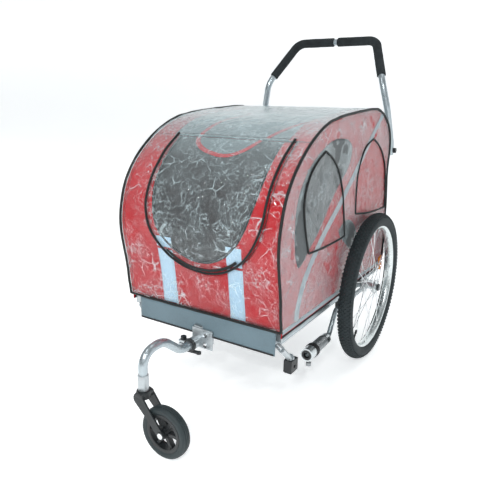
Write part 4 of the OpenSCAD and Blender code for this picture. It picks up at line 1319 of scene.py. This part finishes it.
def leg(side):
    """fork leg: a cast blade, thicker at its crown and at the axle boss"""
    y = side * (0.016 + 0.0028)
    prof2 = []
    a0, a1 = np.array([0.000, 0.143]), np.array([0.068, 0.067])
    d = (a1 - a0) / np.linalg.norm(a1 - a0)
    nrm = np.array([-d[1], d[0]])
    L = np.linalg.norm(a1 - a0)
    n_ = 14
    up, dn = [], []
    for i in range(n_ + 1):
        t = i / n_
        w = 0.0150 - 0.0040 * t - 0.0016 * math.sin(math.pi * t)
        up.append(a0 + d * L * t + nrm * w)
        dn.append(a0 + d * L * t - nrm * w)
    endc = [a1 + 0.011 * (d * math.sin(q) + nrm * math.cos(q)) for q in np.linspace(0.15, math.pi - 0.15, 12)]
    top = [a0 + 0.015 * (-d * math.sin(q) - nrm * math.cos(q)) for q in np.linspace(0.15, math.pi - 0.15, 8)]
    loop = up + endc + dn[::-1] + top
    m = len(loop)
    cen = np.mean(loop, 0)
    V, F = [], []
    for (h, k) in ((-0.0026, 0.90), (-0.0018, 1.0), (0.0018, 1.0), (0.0026, 0.90)):
        for p in loop:
            q = cen + (p - cen) * (k if k == 1 else 1) - (0 if k == 1 else 1) * (p - cen) / np.linalg.norm(p - cen) * 0.001
            V.append((q[0], y + h, q[1]))
    for j in range(3):
        for i in range(m):
            F.append((j * m + i, j * m + (i + 1) % m, (j + 1) * m + (i + 1) % m, (j + 1) * m + i))
    F.append(tuple(range(m - 1, -1, -1)))
    F.append(tuple(range(3 * m, 4 * m)))
    o = new_obj("leg", V, F, None, M_fork, True, 40)
    fix_winding(o)
    return o


parts = [leg(-1), leg(1)]
parts.append(box_round("crown", (0.002, 0, 0.150), (0.026, 0.043, 0.014), 0.0042, M_fork, None, 4))
parts.append(revolve("hd", [(0.0062, 0.1385), (0.0165, 0.1385), (0.0180, 0.1400), (0.0180, 0.1555), (0.0168, 0.1578), (0.0062, 0.1580)], (0, 0, 0), (0, 0, 1), M_fork, 48))
for sd in (-1, 1):
    parts.append(revolve("boss", [(0.0042, sd * 0.0165), (0.0105, sd * 0.0165), (0.0105, sd * 0.0222), (0.0098, sd * 0.0228), (0.0042, sd * 0.0228)], (0.068, 0, 0.067), (0, 1, 0), M_fork, 32))
fkm = join("castor_fork_cast", parts)
fkm.data.transform(Matrix.Translation((0, -0.522, 0)) @ Matrix.Rotation(th, 4, "Z"))
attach(fkm, "castor_fork")
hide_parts("castor_fork")
# black quick-release ring on the arm
ringp = [(0.0, -0.338 + 0.0 * t, 0.204) for t in (0,)]
ring = revolve("arm_clamp_ring", [(0.0119, -0.3455), (0.0168, -0.3455), (0.0180, -0.3440), (0.0180, -0.3370), (0.0168, -0.3355), (0.0119, -0.3355)], (0, 0, 0.204), (0, 1, 0), M_plastic, 48)
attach(ring, "chassis")

# black strap that ties the stored tow arm up, across the coupler
sq = []
cyl = np.linspace(0, 2 * math.pi, 41)[:-1]
for t in cyl:
    r_ = 0.0206
    x = 0.228 + r_ * math.cos(t)
    z = 0.130 + r_ * math.sin(t)
    sq.append((x, -0.044, z))
V, F = [], []
for i, t in enumerate(cyl):
    for (rr, yy_) in ((0.0203, -0.0525), (0.0216, -0.0520), (0.0218, -0.044), (0.0216, -0.0360), (0.0203, -0.0355)):
        V.append((0.228 + rr * math.cos(t), yy_ + 0.0006 * math.sin(3 * t), 0.130 + rr * math.sin(t)))
n5 = 5
for i in range(len(cyl)):
    j = (i + 1) % len(cyl)
    for k in range(n5 - 1):
        F.append((i * n5 + k, i * n5 + k + 1, j * n5 + k + 1, j * n5 + k))
    F.append((i * n5 + n5 - 1, i * n5, j * n5, j * n5 + n5 - 1))
uvv = [(0.002 * i, 0.004 * k) for i in range(len(cyl)) for k in range(n5)]
o = new_obj("coupler_strap", V, F, uvv, M_blackc, True, 50)
fix_winding(o)
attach(o, "tow_arm")
socket = revolve("coupler_socket", [(0.0099, -0.0845), (0.0150, -0.0848), (0.0158, -0.0840), (0.0158, -0.0838), (0.0150, -0.0832), (0.0099, -0.0748), (0.0095, -0.0748), (0.0095, -0.0845)],
                 (0.228, 0, 0.130), (0, 1, 0), M_plastic, 48)
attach(socket, "tow_arm")

# ---------------------------------------------------------------- seat, simulated pads
def start_box(name, cx_, cy_, cz_, sx_, sy_, sz_, mat, rot=0.0):
    o = box_round(name, (0, 0, 0), (sx_, sy_, sz_), min(sx_, sy_, sz_) * 0.42, mat, None, 4)
    o.data.transform(Matrix.Translation((cx_, cy_, cz_)) @ Matrix.Rotation(rot, 4, "X"))
    return o


def remesh(o, vox):
    md = o.modifiers.new("r", "REMESH")
    md.mode = "VOXEL"
    md.voxel_size = vox
    dg = bpy.context.evaluated_depsgraph_get()
    me = bpy.data.meshes.new_from_object(o.evaluated_get(dg))
    o.modifiers.clear()
    mats = list(o.data.materials)
    o.data = me
    if not me.materials:
        for m_ in mats:
            me.materials.append(m_)
    return o


def simulate(o, frames_=16, cap=0.009, pressure=4.0):
    co0 = np.array([v.co for v in o.data.vertices])
    md = o.modifiers.new("c", "CLOTH")
    st = md.settings
    st.quality = 4
    st.mass = 0.3
    st.use_pressure = True
    st.uniform_pressure_force = pressure
    st.tension_stiffness = 12
    st.compression_stiffness = 12
    st.bending_stiffness = 0.5
    st.effector_weights.gravity = 0
    md.point_cache.frame_start = 1
    md.point_cache.frame_end = frames_ + 1
    for f in range(1, frames_ + 1):
        SC.frame_set(f)
    dg = bpy.context.evaluated_depsgraph_get()
    ev = o.evaluated_get(dg)
    co = np.array([v.co for v in ev.data.vertices])
    o.modifiers.clear()
    SC.frame_set(1)
    d = co - co0
    L = np.linalg.norm(d, axis=1)
    k = np.minimum(1, cap / np.maximum(L, 1e-9))
    co = co0 + d * k[:, None]
    o.data.vertices.foreach_set("co", co.astype(np.float32).ravel())
    o.data.update()


def channels(o, lines, lo, hi, axis=0, depth=0.004, width=0.010, top_only=None):
    """Sewn channels: the pad is pulled in along lines of constant coordinate."""
    co = np.array([v.co for v in o.data.vertices])
    nn = np.array([v.normal for v in o.data.vertices])
    d = np.zeros(len(co))
    for c0 in lines:
        d = np.maximum(d, np.exp(-((co[:, axis] - c0) / width) ** 2))
    if top_only is not None:
        d *= np.clip(nn @ np.array(top_only), 0, 1)
    co = co - nn * (d * depth)[:, None]
    o.data.vertices.foreach_set("co", co.astype(np.float32).ravel())
    o.data.update()


cush = start_box("seat_cushion_pad", 0, 0.195, 0.2925, 0.352, 0.234, 0.044, M_seat)
tilt = -math.atan2(40, 378)
back = start_box("backrest_pad", 0, 0.3655, 0.4555, 0.352, 0.026, 0.366, M_seat, math.radians(-6.4))
for o, cap in ((cush, 0.007), (back, 0.0055)):
    remesh(o, 0.0075)
    simulate(o, 14, cap)
    md = o.modifiers.new("s", "SUBSURF")
    md.levels = md.render_levels = 1
    dg = bpy.context.evaluated_depsgraph_get()
    me = bpy.data.meshes.new_from_object(o.evaluated_get(dg))
    o.modifiers.clear()
    o.data = me
    me.polygons.foreach_set("use_smooth", [True] * len(me.polygons))
channels(cush, [-0.0, -0.092, 0.092], 0, 0, 0, 0.004, 0.006, (0, 0, 1))
channels(cush, [0.150, 0.240], 0, 0, 1, 0.003, 0.006, (0, 0, 1))
channels(back, [0.0], 0, 0, 0, 0.004, 0.006, (0, -1, 0))
channels(back, [0.36, 0.45, 0.54], 0, 0, 2, 0.0035, 0.007, (0, -1, 0))
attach(cush, "chassis")
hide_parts("seat_cushion")
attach(back, "chassis")
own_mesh(back)
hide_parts("seat_back")

# seat belts: shoulder straps, lap straps and buckles
hs = []


def strap3(name, pts, w, th_, mat):
    pts = resample(pts, 0.008)
    t = np.gradient(pts, axis=0)
    t /= np.linalg.norm(t, axis=1)[:, None]
    X = np.array([1.0, 0, 0])
    V, F = [], []
    for i, p in enumerate(pts):
        x = X if abs(t[i][0]) < 0.8 else np.array([0, 1.0, 0])
        x = x - t[i] * (x @ t[i])
        x /= np.linalg.norm(x)
        nn = np.cross(x, t[i])
        for (a_, b_) in ((-1, -1), (-0.5, -1), (0, -1), (0.5, -1), (1, -1), (1, 1), (0.5, 1), (0, 1), (-0.5, 1), (-1, 1)):
            k = 0.75 if abs(a_) == 1 else 1
            V.append(p + x * a_ * w / 2 + nn * b_ * th_ / 2 * k)
    m = 10
    for i in range(len(pts) - 1):
        for j in range(m):
            F.append((i * m + j, i * m + (j + 1) % m, (i + 1) * m + (j + 1) % m, (i + 1) * m + j))
    F.append(tuple(range(m - 1, -1, -1)))
    F.append(tuple((len(pts) - 1) * m + j for j in range(m)))
    uv = [(0.008 * i, w * (j - 5) / 10) for i in range(len(pts)) for j in range(m)]
    o = new_obj(name, V, F, uv, mat, True, 50)
    fix_winding(o)
    return o


for q in (-0.095, 0.095):
    for s in (-1, 1):
        x = q + s * 0.040
        y0 = lambda z: 0.3318 + (z - 0.330) * (0.3632 - 0.3318) / 0.270 - 0.0036
        pts = [(x, y0(z) + 0.0012 * math.sin(z * 40 + x * 30), z) for z in np.linspace(0.60, 0.345, 24)]
        hs.append(strap3("sh", pts, 0.024, 0.0022, M_blackc))
        hs.append(box_round("adj", (x, y0(0.47) - 0.0022, 0.47), (0.032, 0.006, 0.026), 0.002, M_blackc))
shoulder = join("shoulder_straps", hs)
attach(shoulder, "chassis")
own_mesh(shoulder)
hs = []
for q in (-0.095, 0.095):
    pts = [(q + t * 0.055, 0.203, 0.3205 + 0.0015 * math.cos(t * 3)) for t in np.linspace(-1, 1, 16)]
    hs.append(strap3("lap", pts, 0.026, 0.0022, M_blackc))
lap = join("lap_straps", hs)
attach(lap, "chassis")
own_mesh(lap)
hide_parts("harness")
hs = []
for q in (-0.095, 0.095):
    hs.append(box_round("bk", (q, 0.203, 0.3260), (0.034, 0.040, 0.0085), 0.003, M_plastic))
    hs.append(box_round("bt", (q, 0.203, 0.3305), (0.018, 0.018, 0.003), 0.0012, M_plastic))
bk = join("belt_buckles", hs)
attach(bk, "chassis")
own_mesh(bk)

# ---------------------------------------------------------------- sheets: the cut size of each piece of cloth, worked out and not kept
TOP_L = float(S_END)
H1 = float(S_HINGE)
H2 = float(S_ROOF - S_HINGE)
H3 = float(S_END - S_ROOF)


def poly_area(P):
    P = np.array(P)
    x, y = P[:, 0], P[:, 1]
    return abs(float(np.dot(x, np.roll(y, -1)) - np.dot(y, np.roll(x, -1)))) / 2


def declare(poly, holes=()):
    P = np.array(poly)
    w, h = float(np.ptp(P[:, 0])), float(np.ptp(P[:, 1]))
    a_ = poly_area(poly) - sum(poly_area(x) for x in holes)
    a_ = min(a_, w * h)


U0 = u_shape(0.0005, s_h)
declare(front_poly)
declare([(-XT, s_h), (XT, s_h), (XT, S_ROOF), (-XT, S_ROOF)])
declare([(-XT, S_ROOF), (XT, S_ROOF), (XT, S_END), (-XT, S_END)])
declare(border_poly)
declare(win)
declare(tg)
declare([(-XV, 0.0), (XV, 0.0), (XV, S_END), (-XV, S_END)], [u_shape(0.0006, s_h)])
declare(u_shape(-0.0012, s_h - 0.003), ())
declare(bp, ())
for sn in ("left", "right"):
    declare(out2(0.0085, 0.268), ())
    declare(sm_poly(LENS), ())
    declare(sm_poly(LENS2), ())
    declare(out2(0.003, 0.287), [gothic(FLAP_F, [0, 5, 8]), gothic(FLAP_R, [0, 4, 7])])
    declare(gothic(FLAP_F, [0, 5, 8]), ())
    declare(gothic(FLAP_R, [0, 4, 7]), ())

# ---------------------------------------------------------------- floor and light
fl = Mat("studio_floor", (0.93, 0.94, 0.94), 0.6, 0, "obj")
fl.b.inputs["Emission Color"].default_value = (0.97, 0.99, 1.0, 1)
fl.b.inputs["Emission Strength"].default_value = 0.56
fl.set_color(fl.mix(fl.ramp(fl.noise(3, 3), 0.3, 0.7, 0, 1), (0.925, 0.935, 0.935), (0.94, 0.95, 0.95)))
V = [(-8, -5, 0), (8, -5, 0)]
pts = [(-8, 0.0)]
prof = [(-5.0, 0.0), (4.0, 0.0)] + [(4.0 + 2.0 * math.sin(t), 2.0 - 2.0 * math.cos(t)) for t in np.linspace(0.08, math.pi / 2, 16)] + [(6.0, 7.0)]
V, F = [], []
for y, z in prof:
    V += [(-24, y, z), (24, y, z)]
for i in range(len(prof) - 1):
    F.append((2 * i, 2 * i + 1, 2 * i + 3, 2 * i + 2))
floor = new_obj("studio_floor", V, F, None, fl.m, True)

w = bpy.data.worlds.new("w")
SC.world = w
w.use_nodes = True
w.node_tree.nodes["Background"].inputs[0].default_value = (0.93, 0.97, 1.0, 1)
w.node_tree.nodes["Background"].inputs[1].default_value = 0.27


def area(name, loc, target, size, power, col=(1, 1, 1), spread=None):
    d = bpy.data.lights.new(name, "AREA")
    d.shape = "RECTANGLE"
    d.size, d.size_y = size
    d.energy = power
    d.color = col
    o = bpy.data.objects.new(name, d)
    SC.collection.objects.link(o)
    o.location = loc
    o.rotation_euler = (Vector(target) - Vector(loc)).to_track_quat("-Z", "Y").to_euler()
    return o


area("key", (-1.6, -2.2, 2.9), (0, 0.0, 0.45), (1.6, 1.2), 15, (1, 0.99, 0.97)).visible_glossy = False
area("fill", (2.6, -1.6, 1.6), (0, 0.1, 0.4), (1.6, 1.6), 7, (0.95, 0.98, 1))
area("top", (0.2, 0.6, 3.0), (0, 0.1, 0.5), (2.4, 1.6), 13)
area("flash", (0.72, -1.6, 1.15), (0, -0.1, 0.5), (0.10, 0.10), 7)
area("glint_a", (0.1, -2.1, 1.5), (0, -0.1, 0.6), (0.10, 0.10), 6)
area("glint_b", (1.3, -1.6, 1.9), (0, -0.1, 0.6), (0.10, 0.10), 6)
area("glint_c", (-0.3, -1.1, 2.3), (0, -0.1, 0.6), (0.10, 0.10), 5)
area("spark", (-0.5, -1.9, 1.9), (0, -0.1, 0.6), (0.10, 0.10), 6)

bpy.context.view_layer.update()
